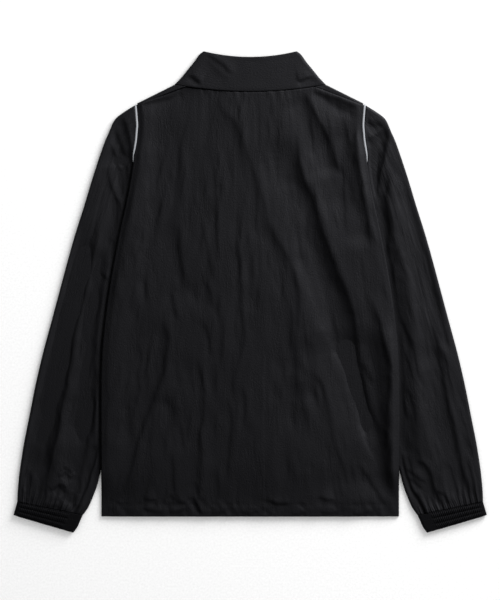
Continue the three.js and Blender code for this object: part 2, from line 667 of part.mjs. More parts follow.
const jacket = new THREE.Group();
jacket.name = "woven_jacket";
function add(name, geometry, finish) {
  const mesh = new THREE.Mesh(geometry, new THREE.MeshStandardMaterial({ ...FINISH[finish] }));
  mesh.name = name;
  jacket.add(mesh);
}

add("back_panel", backPanel(), "shell");
add("collar", collar(), "shell");
for (const [name, side] of [["left", -1], ["right", 1]]) {
  add(`${name}_front`, frontPanel(side), "shell");
  add(`${name}_sleeve`, sleeve(side), "shell");
  add(`${name}_cuff`, cuff(side), "elastic");
  add(`${name}_piping`, piping(side), "piping");
}
add("front_zip", zipTape(), "zip");
add("zip_slider", zipSlider(), "metal");

export default jacket;
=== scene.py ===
"""A light woven jacket, laid flat on its front on a pale surface and seen from straight above."""

import logging
from dataclasses import dataclass
from enum import Enum
from typing import Callable

import bpy
import numpy as np
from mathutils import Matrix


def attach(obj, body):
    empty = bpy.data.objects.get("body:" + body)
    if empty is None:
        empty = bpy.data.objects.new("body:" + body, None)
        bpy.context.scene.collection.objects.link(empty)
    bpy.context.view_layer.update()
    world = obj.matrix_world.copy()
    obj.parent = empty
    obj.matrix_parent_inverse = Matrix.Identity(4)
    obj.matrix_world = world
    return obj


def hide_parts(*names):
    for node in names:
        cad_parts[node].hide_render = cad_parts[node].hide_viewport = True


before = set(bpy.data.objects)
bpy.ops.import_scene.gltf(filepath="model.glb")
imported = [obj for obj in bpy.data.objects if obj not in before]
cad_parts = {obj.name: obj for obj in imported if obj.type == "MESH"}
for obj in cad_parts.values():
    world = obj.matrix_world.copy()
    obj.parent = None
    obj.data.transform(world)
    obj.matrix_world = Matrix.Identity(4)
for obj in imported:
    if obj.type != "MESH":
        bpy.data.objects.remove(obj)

MM = 0.001
MM_PER_PIXEL = 1.62
MIDDLE_PIXEL = (250.2, 292.0)
Array = np.ndarray
PlanLine = Callable[[Array], Array]
log = logging.getLogger("jacket")


class Side(Enum):
    """Side of the jacket, as its wearer has it; the value is the sign of X."""

    LEFT = -1
    RIGHT = 1


class Grain(Enum):
    """Way that a piece's warp runs, and so its crinkles."""

    LENGTHWISE = "lengthwise"
    ACROSS = "across"


# ---- Shapes in plan ----


def ease(t: Array) -> Array:
    """Smooth step from 0 to 1.

    Args:
        t: Position, any range.

    Returns:
        0 below 0, 1 above 1 and a soft S between.
    """
    s = np.clip(t, 0.0, 1.0)
    return s * s * (3.0 - 2.0 * s)


def mix(a: Array, b: Array, t: Array) -> Array:
    """Value between a and b at share t."""
    return a + (b - a) * t


class Edge:
    """A smooth line through points in plan, in millimetres, read by length or by height."""

    def __init__(self, *rows: tuple[float, float], steps: int = 24) -> None:
        """Sample the line.

        Args:
            rows: Points, each x and y.
            steps: Samples between two points.
        """
        points = np.array(rows, float)
        padded = np.vstack([points[:1], points, points[-1:]])
        t = np.arange(steps)[:, None] / steps
        spans = []
        for a, b, c, d in zip(padded, padded[1:], padded[2:], padded[3:]):
            m, n = (c - a) / 2, (d - b) / 2
            curve = (2 * b - 2 * c + m + n) * t**3 + (3 * c - 3 * b - 2 * m - n) * t**2
            spans.append(curve + m * t + b)
        self.samples = np.vstack([*spans, points[-1:]])
        steps_run = np.linalg.norm(np.diff(self.samples, axis=0), axis=1)
        self.run = np.concatenate([[0.0], np.cumsum(steps_run)])
        self.length = float(self.run[-1])
        self.first, self.last = points[0], points[-1]

    def at(self, share: Array) -> Array:
        """Points at shares of the line's length, one row each.

        Args:
            share: Shares of the length.

        Returns:
            Rows of x and y.
        """
        where = np.clip(np.atleast_1d(share), 0.0, 1.0) * self.length
        columns = [np.interp(where, self.run, self.samples[:, k]) for k in (0, 1)]
        return np.stack(columns, axis=-1)

    def x_at(self, y: Array) -> Array:
        """X where the line passes a height; its y rises or falls all the way."""
        order = 1 if self.last[1] > self.first[1] else -1
        return np.interp(y, self.samples[::order, 1], self.samples[::order, 0])


class Patch:
    """Plan of a piece between four lines: bottom and top run along u, left and right along v."""

    def __init__(self, bottom: PlanLine, top: PlanLine, left: PlanLine, right: PlanLine) -> None:
        """Keep the four lines, each a function from shares to points."""
        self.lines = (bottom, top, left, right)

    def row(self, u: Array, v: float) -> Array:
        """Points of one row.

        Args:
            u: Shares across.
            v: Share from bottom to top.

        Returns:
            One point for each u.
        """
        bottom, top, left, right = self.lines
        ends = np.array([0.0, 1.0])
        low, high, at = bottom(ends), top(ends), np.array([v])
        across = u[:, None]
        ruled = (1 - v) * bottom(u) + v * top(u) + (1 - across) * left(at) + across * right(at)
        corners = (1 - v) * ((1 - across) * low[0] + across * low[1])
        return ruled - corners - v * ((1 - across) * high[0] + across * high[1])


def traced(*places: tuple[float, float]) -> tuple[tuple[float, float], ...]:
    """Turn places read off the photograph, in its pixels, into millimetres of plan."""
    across, down = MIDDLE_PIXEL
    return tuple((MM_PER_PIXEL * (x - across), MM_PER_PIXEL * (down - y)) for x, y in places)


@dataclass(frozen=True)
class Crease:
    """One fold along a line.

    Its cloth rises steeply across the line, towards the right of a line that runs down the page,
    from a trough to a crest, and falls off softly on both sides.
    """

    left: float
    right: float
    steep: float
    line: tuple[tuple[float, float], ...]
    crest: float = 0.0
    fade: float = 0.25

    def relief(self, x: Array, y: Array) -> Array:
        """Height that the fold adds.

        Args:
            x: Plan positions, in millimetres.
            y: Plan positions, in millimetres.

        Returns:
            Millimetres, fading at both ends and to both sides.
        """
        path = Edge(*self.line, steps=4)
        reach = 5.0 * max(self.left, self.right)
        low, high = path.samples.min(axis=0) - reach, path.samples.max(axis=0) + reach
        near = (x > low[0]) & (x < high[0]) & (y > low[1]) & (y < high[1])
        total = np.zeros(x.shape)
        if near.any():
            total[near] = self._near(path, x[near], y[near])
        return total

    def _near(self, path: Edge, x: Array, y: Array) -> Array:
        """Height at points that may lie within the fold's reach.

        Args:
            path: The fold's line.
            x: Plan positions, in millimetres.
            y: Plan positions, in millimetres.

        Returns:
            Millimetres.
        """
        best = np.full(x.shape, np.inf)
        side, along = np.zeros(x.shape), np.zeros(x.shape)
        for a, b, start in zip(path.samples, path.samples[1:], path.run):
            run = b - a
            span = float(np.hypot(*run))
            if span == 0.0:
                continue
            t = np.clip(((x - a[0]) * run[0] + (y - a[1]) * run[1]) / span**2, 0.0, 1.0)
            dx, dy = x - a[0] - run[0] * t, y - a[1] - run[1] * t
            away = np.hypot(dx, dy)
            closer = away < best
            best = np.where(closer, away, best)
            side = np.where(closer, np.sign(dy * run[0] - dx * run[1]), side)
            along = np.where(closer, (start + t * span) / path.length, along)
        width = np.where(side > 0.0, self.right, self.left)
        ends = ease(along / self.fade) * ease((1.0 - along) / self.fade)
        rise = self.steep * side * best * np.exp(-best / width)
        return ends * (rise + self.crest * np.exp(-((best / width) ** 2)))


def fold(
    left: float, right: float, steep: float, *places: tuple[float, float],
    crest: float = 0.0, fade: float = 0.25,
) -> Crease:
    """Crease through places read off the photograph.

    Args:
        left: Width of its left flank, in millimetres.
        right: Width of its right flank, in millimetres.
        steep: Slope where the line runs.
        places: Points of the line, in the photograph's pixels.
        crest: Height of a ridge along the line, in millimetres.
        fade: Share of the length over which each end fades.

    Returns:
        The crease.
    """
    return Crease(left, right, steep, traced(*places), crest, fade)


def relief(creases: tuple[Crease, ...], x: Array, y: Array) -> Array:
    """Sum of the heights that several folds add at plan positions.

    Args:
        creases: The folds.
        x: Plan positions, in millimetres.
        y: Plan positions, in millimetres.

    Returns:
        Millimetres.
    """
    total = np.zeros(x.shape)
    for crease in creases:
        total = total + crease.relief(x, y)
    return total


def soft_noise(a: Array, b: Array, seed: int) -> Array:
    """Smooth noise on unit cells.

    Args:
        a: First coordinate, in cells.
        b: Second coordinate, in cells.
        seed: Picks the pattern.

    Returns:
        Values between -1 and 1.
    """
    table = np.random.default_rng(seed).uniform(-1.0, 1.0, (128, 128))
    i, j = np.floor(a).astype(int), np.floor(b).astype(int)
    s, t = ease(a - i), ease(b - j)
    low = mix(table[i % 128, j % 128], table[(i + 1) % 128, j % 128], s)
    high = mix(table[i % 128, (j + 1) % 128], table[(i + 1) % 128, (j + 1) % 128], s)
    return mix(low, high, t)


def rough_relief(creases: tuple[Crease, ...], x: Array, y: Array, seed: int) -> Array:
    """Heights of several folds whose lines waver.

    Args:
        creases: The folds.
        x: Plan positions, in millimetres.
        y: Plan positions, in millimetres.
        seed: Picks the pattern of the unevenness.

    Returns:
        Millimetres.
    """
    a = x + 1.5 * soft_noise(x / 15.0, y / 26.0, seed) + 0.7 * soft_noise(x / 5.5, y / 9.0, seed + 1)
    return relief(creases, a, y + 1.4 * soft_noise(x / 16.0, y / 24.0, seed + 2))


@dataclass(frozen=True)
class Crinkle:
    """The many short creases and soft swells that a light crinkled cloth has all over."""

    area: tuple[float, float, float, float]
    count: int
    seed: int
    lean: Callable[[float, float], float]
    swell: float = 0.55
    steep: float = 0.24

    def creases(self) -> tuple[Crease, ...]:
        """Short uneven creases along the warp, most of them rising to the right.

        Returns:
            The creases.
        """
        pick = np.random.default_rng(self.seed)
        x0, y0, x1, y1 = self.area
        made = []
        for _ in range(self.count):
            x, y = float(pick.uniform(x0, x1)), float(pick.uniform(y0, y1))
            length = float(pick.uniform(24, 60) + pick.exponential(24))
            width = float(pick.uniform(2.2, 4.6))
            steep = self.steep * float(pick.uniform(0.4, 1.3)) * (1 if pick.random() < 0.78 else -0.5)
            down = np.linspace(0.0, length, 6)
            drift = np.cumsum(pick.normal(0.0, 0.05 * length / 5, 6)) + self.lean(x, y) * down
            line = tuple((x + float(dx), y - float(dy)) for dx, dy in zip(drift, down))
            made.append(Crease(width * float(pick.uniform(1.0, 2.6)), width, steep, line, fade=0.5))
        return tuple(made)

    def height(self, across: Array, along: Array) -> Array:
        """Height of the soft swells between the creases.

        Args:
            across: Millimetres across the warp.
            along: Millimetres along it.

        Returns:
            Millimetres, about 0 on average.
        """
        a = across + 7.0 * soft_noise(across / 70.0, along / 80.0, self.seed + 9)
        broad = soft_noise(a / 27.0, along / 150.0, self.seed + 1)
        mid = soft_noise(a / 11.0, along / 64.0, self.seed + 2)
        fine = soft_noise(a / 5.2, along / 24.0, self.seed + 3)
        return self.swell * (0.9 * broad + 0.7 * mid + 0.26 * fine)


# ---- Meshes ----


def grid_normals(grid: Array, closed: bool) -> Array:
    """Unit normals of a grid of points.

    Args:
        grid: Rows of columns of points.
        closed: Whether the last column joins the first.

    Returns:
        A normal for each point.
    """
    if closed:
        across = np.roll(grid, -1, axis=1) - np.roll(grid, 1, axis=1)
    else:
        across = np.gradient(grid, axis=1)
    normal = np.cross(across, np.gradient(grid, axis=0))
    return normal / np.maximum(np.linalg.norm(normal, axis=2, keepdims=True), 1e-12)


def quads(a: Array, b: Array, c: Array, d: Array) -> Array:
    """Stack four arrays of vertex numbers into faces, one row each."""
    return np.stack([a.ravel(), b.ravel(), c.ravel(), d.ravel()], axis=1)


def mesh_object(name: str, points: Array, faces: list, smooth: bool = True) -> bpy.types.Object:
    """Make an object from points in millimetres.

    Args:
        name: Name of the piece.
        points: One row of x, y and z each.
        faces: Vertex numbers of each.
        smooth: Whether its faces are shaded smooth.

    Returns:
        The object, linked into the scene.
    """
    mesh = bpy.data.meshes.new(name)
    mesh.from_pydata((points * MM).tolist(), [], faces)
    if smooth:
        mesh.shade_smooth()
    mesh.update()
    piece = bpy.data.objects.new(name, mesh)
    bpy.context.scene.collection.objects.link(piece)
    return piece


def every_other(count: int) -> Array:
    """Indices 0, 2, 4 and so on, with the last one always among them."""
    picked = np.arange(0, count, 2)
    return picked if picked[-1] == count - 1 else np.append(picked, count - 1)


def rim_faces(front: Array, back: Array, picked: Array) -> list[list[int]]:
    """Faces between a fine edge and a coarser one that has only the picked points of it.

    Args:
        front: Vertices of the fine edge.
        back: Vertices of the coarser edge.
        picked: Places in the fine edge that the coarser one has.

    Returns:
        Vertices of each face.
    """
    return [
        [*front[a : b + 1].tolist(), int(back[k + 1]), int(back[k])]
        for k, (a, b) in enumerate(zip(picked[:-1], picked[1:]))
    ]


def cloth_wall(
    name: str, outer: Array, thick: float, grain: Array, closed: bool = False
) -> bpy.types.Object:
    """Make a closed wall of cloth whose outside is a grid of points.

    Its plain inside has half as many rows and columns.

    Args:
        name: Name of the piece.
        outer: Rows of columns of points, in millimetres, facing out.
        thick: Wall thickness, in millimetres.
        grain: For each point, millimetres across and along the warp.
        closed: Whether the last column joins the first, as round a sleeve.

    Returns:
        The object, with its grain stored for the finish.
    """
    rows, cols = outer.shape[:2]
    inner = outer - thick * grid_normals(outer, closed)
    front = np.arange(rows * cols).reshape(rows, cols)
    if closed:
        front = np.concatenate([front, front[:, :1]], axis=1)
    picked_rows, picked_cols = every_other(rows), every_other(front.shape[1])
    kept = picked_cols[:-1] if closed else picked_cols
    inside = inner[np.ix_(picked_rows, kept)]
    back = rows * cols + np.arange(inside.shape[0] * inside.shape[1]).reshape(inside.shape[:2])
    if closed:
        back = np.concatenate([back, back[:, :1]], axis=1)
    faces = quads(front[:-1, :-1], front[:-1, 1:], front[1:, 1:], front[1:, :-1]).tolist()
    faces += quads(back[:-1, :-1], back[1:, :-1], back[1:, 1:], back[:-1, 1:]).tolist()
    walls = len(faces)
    faces += [face[::-1] for face in rim_faces(front[0], back[0], picked_cols)]
    faces += rim_faces(front[-1], back[-1], picked_cols)
    if not closed:
        faces += rim_faces(front[:, 0], back[:, 0], picked_rows)
        faces += [face[::-1] for face in rim_faces(front[:, -1], back[:, -1], picked_rows)]
    points = np.concatenate([outer.reshape(-1, 3), inside.reshape(-1, 3)])
    piece = mesh_object(name, points, faces)
    piece.data.polygons.foreach_set("use_smooth", np.arange(len(faces)) < walls)
    flat = np.concatenate([grain.reshape(-1, 2), grain[np.ix_(picked_rows, kept)].reshape(-1, 2)])
    store_grain(piece, np.column_stack([flat, np.zeros(len(flat))]))
    return piece


def store_grain(piece: bpy.types.Object, places: Array) -> None:
    """Store where each point lies on the cloth, in millimetres, as an attribute in metres."""
    attribute = piece.data.attributes.new("grain", "FLOAT_VECTOR", "POINT")
    attribute.data.foreach_set("vector", (places * MM).astype(np.float32).ravel())


def tube(path: Array, radius: Array, sides: int = 10) -> tuple[Array, Array]:
    """Points and faces of a closed round tube.

    Args:
        path: Its middle line, one point a row, in millimetres.
        radius: Its radius at each point.
        sides: Faces round it.

    Returns:
        The points and the faces.
    """
    ahead = np.gradient(path, axis=0)
    ahead /= np.linalg.norm(ahead, axis=1, keepdims=True)
    right = np.cross(ahead, np.array([0.0, 0.0, 1.0]))
    level = np.linalg.norm(right, axis=1, keepdims=True)
    right = np.where(level > 0.05, right / np.maximum(level, 1e-9), np.array([1.0, 0.0, 0.0]))
    up = np.cross(right, ahead)
    angle = np.linspace(0.0, 2 * np.pi, sides, endpoint=False)[None, :, None]
    ring = np.cos(angle) * right[:, None] + np.sin(angle) * up[:, None]
    points = (path[:, None] + radius[:, None, None] * ring).reshape(-1, 3)
    index = np.arange(len(points)).reshape(len(path), sides)
    index = np.concatenate([index, index[:, :1]], axis=1)
    walls = quads(index[:-1, :-1], index[:-1, 1:], index[1:, 1:], index[1:, :-1])
    first, last = len(points), len(points) + 1
    points = np.vstack([points, path[:1], path[-1:]])
    low, high = index[0], index[-1]
    caps = [[first, high_i, low_i, low_i] for low_i, high_i in zip(low[:-1], low[1:])]
    caps += [[last, a, b, b] for a, b in zip(high[:-1], high[1:])]
    return points, np.concatenate([walls, np.array(caps)])


def clean_faces(faces: Array) -> list[list[int]]:
    """Faces with a repeated vertex turned into triangles."""
    return [list(dict.fromkeys(face)) for face in faces.tolist()]


def joined_tubes(name: str, runs: list[tuple[Array, Array]], sides: int = 6) -> bpy.types.Object:
    """Make one object of many tubes.

    Args:
        name: Name of the piece.
        runs: For each tube, its path and its radii, in millimetres.
        sides: Faces round each.

    Returns:
        The object.
    """
    points, faces, count = [], [], 0
    for path, radius in runs:
        p, f = tube(path, radius, sides)
        points.append(p)
        faces.extend(clean_faces(f + count))
        count += len(p)
    return mesh_object(name, np.vstack(points), faces)


# ---- Shaders ----


class Wire:
    """A shader socket that takes part in Python arithmetic."""

    def __init__(self, graph: "Graph", socket: bpy.types.NodeSocket) -> None:
        """Keep the graph and the output socket."""
        self.graph, self.socket = graph, socket

    def _math(self, operation: str, *values: object) -> "Wire":
        """Add a Math node of this operation."""
        return self.graph.add("ShaderNodeMath", {"operation": operation}, dict(enumerate(values)))

    def __add__(self, other: object) -> "Wire":
        """Sum."""
        return self._math("ADD", self, other)

    __radd__ = __add__

    def __mul__(self, other: object) -> "Wire":
        """Product."""
        return self._math("MULTIPLY", self, other)

    __rmul__ = __mul__

    def __sub__(self, other: object) -> "Wire":
        """Difference."""
        return self._math("SUBTRACT", self, other)

    def __rsub__(self, other: object) -> "Wire":
        """Reflected difference."""
        return self._math("SUBTRACT", other, self)

    def __pow__(self, power: float) -> "Wire":
        """Power."""
        return self._math("POWER", self, power)

    def sine(self) -> "Wire":
        """Sine of the value, in radians."""
        return self._math("SINE", self)

    def size(self) -> "Wire":
        """Value without its sign."""
        return self._math("ABSOLUTE", self)


class Graph:
    """The node tree of one material."""

    def __init__(self, name: str) -> None:
        """Make a material whose Principled shader is ready to dress.

        Args:
            name: Name of the material.
        """
        self.material = bpy.data.materials.new(name)
        self.material.use_nodes = True
        self.tree = self.material.node_tree
        self.shader = self.tree.nodes["Principled BSDF"]

    def add(self, kind: str, settings: dict, inputs: dict, output: int | str = 0) -> Wire:
        """Add a node.

        Args:
            kind: Its type.
            settings: Properties set first; "stops" fills a ramp with positions and colours.
            inputs: Values or wires of its sockets, by name or number.
            output: The socket that the result reads.

        Returns:
            That output, ready for arithmetic.
        """
        node = self.tree.nodes.new(kind)
        for key, value in settings.items():
            if key != "stops":
                setattr(node, key, value)
                continue
            for stop, (place, colour) in zip(node.color_ramp.elements, value):
                stop.position, stop.color = place, colour
        for key, value in inputs.items():
            self.feed(node.inputs[key], value)
        return Wire(self, node.outputs[output])

    def feed(self, socket: bpy.types.NodeSocket, value: object) -> None:
        """Link a wire to a socket, or set a plain value on it.

        Args:
            socket: The input.
            value: A wire or a plain value.
        """
        if isinstance(value, Wire):
            self.tree.links.new(value.socket, socket)
        else:
            socket.default_value = value

    def set(self, **values: object) -> None:
        """Set sockets of the main shader; underscores in the names stand for spaces."""
        for key, value in values.items():
            self.feed(self.shader.inputs[key.replace("_", " ")], value)

    def grain(self, scale: tuple[float, float, float]) -> Wire:
        """Place on the cloth, with the given cells a metre across, along and through it."""
        place = self.add("ShaderNodeAttribute", {"attribute_name": "grain"}, {}, "Vector")
        return self.add("ShaderNodeVectorMath", {"operation": "MULTIPLY"}, {0: place, 1: scale})

    def noise(self, place: Wire, detail: float = 2.0, rough: float = 0.5, bent: float = 0.0) -> Wire:
        """Noise between 0 and 1 at a place whose cells are one unit."""
        inputs = {"Vector": place, "Scale": 1.0, "Detail": detail, "Roughness": rough, "Distortion": bent}
        return self.add("ShaderNodeTexNoise", {}, inputs)

    def bump(self, height: Wire, depth: float, under: Wire | None = None) -> Wire:
        """Normal bent by a height from 0 to 1, depth metres deep.

        Args:
            height: Height from 0 to 1.
            depth: Metres that a height of 1 stands for.
            under: A normal to start from, if any.

        Returns:
            The bent normal.
        """
        inputs = {"Height": height, "Distance": depth, "Strength": 1.0}
        if under is not None:
            inputs["Normal"] = under
        return self.add("ShaderNodeBump", {}, inputs)

    def shade(self, mask: Wire, dark: tuple[float, float, float], light: tuple[float, float, float]) -> Wire:
        """Colour between two shades, by a mask from 0 to 1.

        Args:
            mask: Share of the second shade.
            dark: First shade, linear.
            light: Second shade, linear.

        Returns:
            The colour.
        """
        node = self.tree.nodes.new("ShaderNodeMix")
        node.data_type = "RGBA"
        self.feed(node.inputs["Factor"], mask)
        colours = [s for s in node.inputs if s.type == "RGBA"]
        colours[0].default_value, colours[1].default_value = (*dark, 1.0), (*light, 1.0)
        return Wire(self, next(s for s in node.outputs if s.type == "RGBA"))


@dataclass(frozen=True)
class ClothFinish:
    """A plain-woven cloth: its shades, its sheen, its fine crinkle and its threads, with shade painted along
    its crease lines.
    """

    name: str
    dark: tuple[float, float, float]
    light: tuple[float, float, float]
    roughness: float = 0.68
    specular: float = 0.35
    crinkle: float = 0.00048
    crinkle_cells: tuple[float, float] = (480.0, 330.0)
    line_depth: float = 0.00022
    thread: float = 0.00045
    thread_depth: float = 0.00002
    grain: Grain = Grain.LENGTHWISE

    def material(self) -> bpy.types.Material:
        """Build the finish.

        Returns:
            The material.
        """
        g = Graph(self.name)
        across, along = self.crinkle_cells
        turned = self.grain is Grain.ACROSS
        cells = lambda a, b: g.grain((b, a, 1.0) if turned else (a, b, 1.0))
        fine = g.noise(cells(across, along), 3.0, 0.6)
        streaks = g.noise(cells(120.0, 20.0), 4.0, 0.6, 0.7)
        clusters = g.noise(cells(30.0, 13.0), 2.0)
        away = (streaks - 0.5) * 19.0
        cluster_mask = g.add("ShaderNodeMath", {"operation": "MULTIPLY_ADD", "use_clamp": True},
                             {0: clusters, 1: 5.0, 2: -2.1})
        # Thin crease lines in clusters: they dent the surface and also darken the base colour, as painted
        # shade in the creases.
        lines = (away * away + 1.0) ** -1.0 * cluster_mask
        pitch = 2 * np.pi / self.thread
        place = g.grain((pitch, pitch, 1.0))
        parts = g.add("ShaderNodeSeparateXYZ", {}, {0: place}, "X")
        other = Wire(g, parts.socket.node.outputs["Y"])
        weave = parts.sine() * other.sine() * 0.5 + 0.5
        cloudy = g.noise(g.grain((16.0, 9.0, 1.0)), 2.0)
        normal = g.bump(weave, self.thread_depth)
        normal = g.bump(fine, self.crinkle, normal)
        normal = g.bump(streaks * 0.8 - lines, self.line_depth, normal)
        g.set(
            # Base colour: random tone from the fine and cloudy noise, darkened along the crease lines as
            # painted shade.
            Base_Color=g.shade(fine * 0.5 + cloudy * 0.5 - lines * 0.6, self.dark, self.light),
            Roughness=cloudy * 0.12 + fine * 0.08 + (self.roughness - 0.1),
            Specular_IOR_Level=self.specular,
            Specular_Tint=(0.92, 0.92, 1.0, 1.0),
            Normal=normal,
        )
        return g.material


@dataclass(frozen=True)
class PlainFinish:
    """Thread, moulded teeth or enamelled metal: one shade, faintly uneven."""

    name: str
    colour: tuple[float, float, float]
    roughness: float = 0.5
    metallic: float = 0.0
    cells: float = 900.0
    depth: float = 0.00002

    def material(self) -> bpy.types.Material:
        """Build the finish.

        Returns:
            The material.
        """
        g = Graph(self.name)
        place = g.add("ShaderNodeTexCoord", {}, {}, "Object")
        scaled = g.add("ShaderNodeVectorMath", {"operation": "SCALE"}, {0: place, "Scale": self.cells})
        uneven = g.noise(scaled, 3.0)
        low = tuple(0.8 * c for c in self.colour)
        g.set(
            Base_Color=g.shade(uneven, low, self.colour),
            Roughness=uneven * 0.15 + (self.roughness - 0.07),
            Metallic=self.metallic,
            Normal=g.bump(uneven, self.depth),
        )
        return g.material


SHELL = ClothFinish("shell_cloth", (0.0020, 0.0020, 0.0027), (0.0030, 0.0030, 0.0040))
COLLAR_CLOTH = ClothFinish(
    "collar_cloth", (0.0020, 0.0020, 0.0027), (0.0030, 0.0030, 0.0040), grain=Grain.ACROSS, line_depth=0.00012
)
ELASTIC = ClothFinish(
    "gathered_elastic", (0.0011, 0.0011, 0.0015), (0.0018, 0.0018, 0.0024), roughness=0.72, specular=0.17,
    line_depth=0.00005
)
CORD = ClothFinish(
    "piping_cloth", (0.27, 0.28, 0.3), (0.38, 0.39, 0.41), roughness=0.55, crinkle=0.00006,
    line_depth=0.00002, thread_depth=0.00004
)
TAPE = ClothFinish(
    "zip_tape", (0.004, 0.004, 0.0045), (0.006, 0.006, 0.0065),
    roughness=0.7, crinkle=0.00004, line_depth=0.00002,
)
THREAD = PlainFinish("sewing_thread", (0.0012, 0.0012, 0.0015), 0.8)
TEETH = PlainFinish("moulded_teeth", (0.007, 0.007, 0.008), 0.4)
ENAMEL = PlainFinish("slider_enamel", (0.03, 0.03, 0.033), 0.35, 0.8)
PAPER = PlainFinish("pale_surface", (0.9, 0.9, 0.9), 0.9, 0.0, 300.0, 0.00001)


def dress(piece: bpy.types.Object, finish: ClothFinish | PlainFinish) -> None:
    """Give a piece its finish and the jacket's body to ride on.

    Args:
        piece: The piece.
        finish: Its finish.
    """
    piece.data.materials.clear()
    piece.data.materials.append(finish.material())
    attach(piece, "root")


# ---- The jacket ----


@dataclass(frozen=True)
class Lay:
    """How the jacket lies: edges in plan on the wearer's right, and heights, in millimetres."""

    cloth: float = 1.2
    collar_cloth: float = 1.8
    cuff_cloth: float = 1.7
    seam: float = 0.4
    hem_y: float = -364.0
    hem_depth: float = 20.0
    hem_proud: float = 0.5
    hem_height: float = 7.8
    crossing_y: float = 215.5
    shoulder_y: float = 302.4
    fold_radius: float = 2.6
    over_sleeve: float = 5.2
    under_body: float = 4.2
    shoulder_radius: float = 4.0
    back_height: float = 11.0
    neck_rise: float = 2.6
    neck_y: float = 324.6
    front_neck_y: float = 268.0
    piping_radius: float = 1.5
    shoulder_seam: tuple[tuple[float, float], ...] = ((183.0, 303.4), (104.3, 333.1))
    side_fold: Edge = Edge(
        (241.5, -364), (241.5, -310), (242, -240), (242, -156), (240.5, -102), (237.5, -66),
        (231, -13), (222.5, 40), (211.5, 98), (200, 150), (194, 182), (188.7, 215.5),
    )
    armhole: Edge = Edge(
        (138, 92), (150, 112), (165, 142), (178, 173), (185.5, 198), (188.7, 215.5),
        (187.9, 227), (185.7, 240.5), (183.7, 254.5), (182.9, 270), (183.9, 285), (185.5, 302.4),
    )
    side_seam: Edge = Edge(
        (237.5, -364), (235.5, -335), (231, -300), (224, -262), (211, -210), (193, -140),
        (169, -60), (145.5, 20), (139, 60), (138, 92),
    )
    sleeve_outer: Edge = Edge(
        (187.8, 302.4), (200, 295), (209.8, 288.4), (218, 281.7), (223, 273.5), (227.6, 262.4),
        (238, 238), (254.3, 189.5), (269, 141), (284.3, 92.3), (298, 43.7), (311, -5),
        (324, -53.5), (337, -102), (348.3, -150.7), (358, -199.3), (367.5, -248), (374, -290),
        (377, -320), (378, -340.2),
    )
    sleeve_inner: Edge = Edge(
        (138.2, 92), (146.5, 60), (160, 20), (183, -60), (204, -140), (222, -210), (234, -262),
        (242.6, -291), (248.5, -314), (255, -332), (263, -350), (271.4, -361.8),
    )
    collar_side: Edge = Edge(
        (122.6, 336.4), (112, 347.4), (102, 359.8), (91.5, 372.6), (83, 384.5), (76, 390.2)
    )

    def body_side(self, y: Array) -> Array:
        """X of the body's visible side: its fold, and above that the armhole."""
        return np.where(y > self.crossing_y, self.armhole.x_at(y), self.side_fold.x_at(y))

    def fold_bottom(self, y: Array) -> Array:
        """Height of the underside of the body's side fold: over the sleeve, then down."""
        return self.over_sleeve * ease((y + 338.0) / 50.0)

    def neck_share(self, x: Array) -> Array:
        """Square of how far out x is, where the neck seam turns over being 1."""
        return (x / self.collar_side.first[0]) ** 2

    def neck_seam_y(self, x: Array) -> Array:
        """Neck seam of the back."""
        return mix(self.neck_y, self.collar_side.first[1], self.neck_share(x))

    def neck_height(self, x: Array) -> Array:
        """Height of the cloth at the neck seam."""
        return 2 * self.shoulder_radius + self.neck_rise * (1 - np.minimum(1.0, self.neck_share(x)))

    def back_top_y(self, x: Array) -> Array:
        """Upper edge of the back panel: shoulder seam, neck seam, shoulder seam.

        Args:
            x: Plan positions, in millimetres.

        Returns:
            Plan y of the edge.
        """
        (arm_x, arm_y), (neck_x, neck_y) = self.shoulder_seam
        slope = mix(neck_y, arm_y, (np.abs(x) - neck_x) / (arm_x - neck_x))
        return np.where(np.abs(x) <= neck_x, self.neck_seam_y(x), slope) - self.seam

    def lift(self, x: Array, y: Array) -> Array:
        """How far the closed front rises over the zip's slider."""
        return 3.0 * ease((y - 285.0) / 27.0) * (1 - ease((np.abs(x) - 8.0) / 28.0))


LAY = Lay()


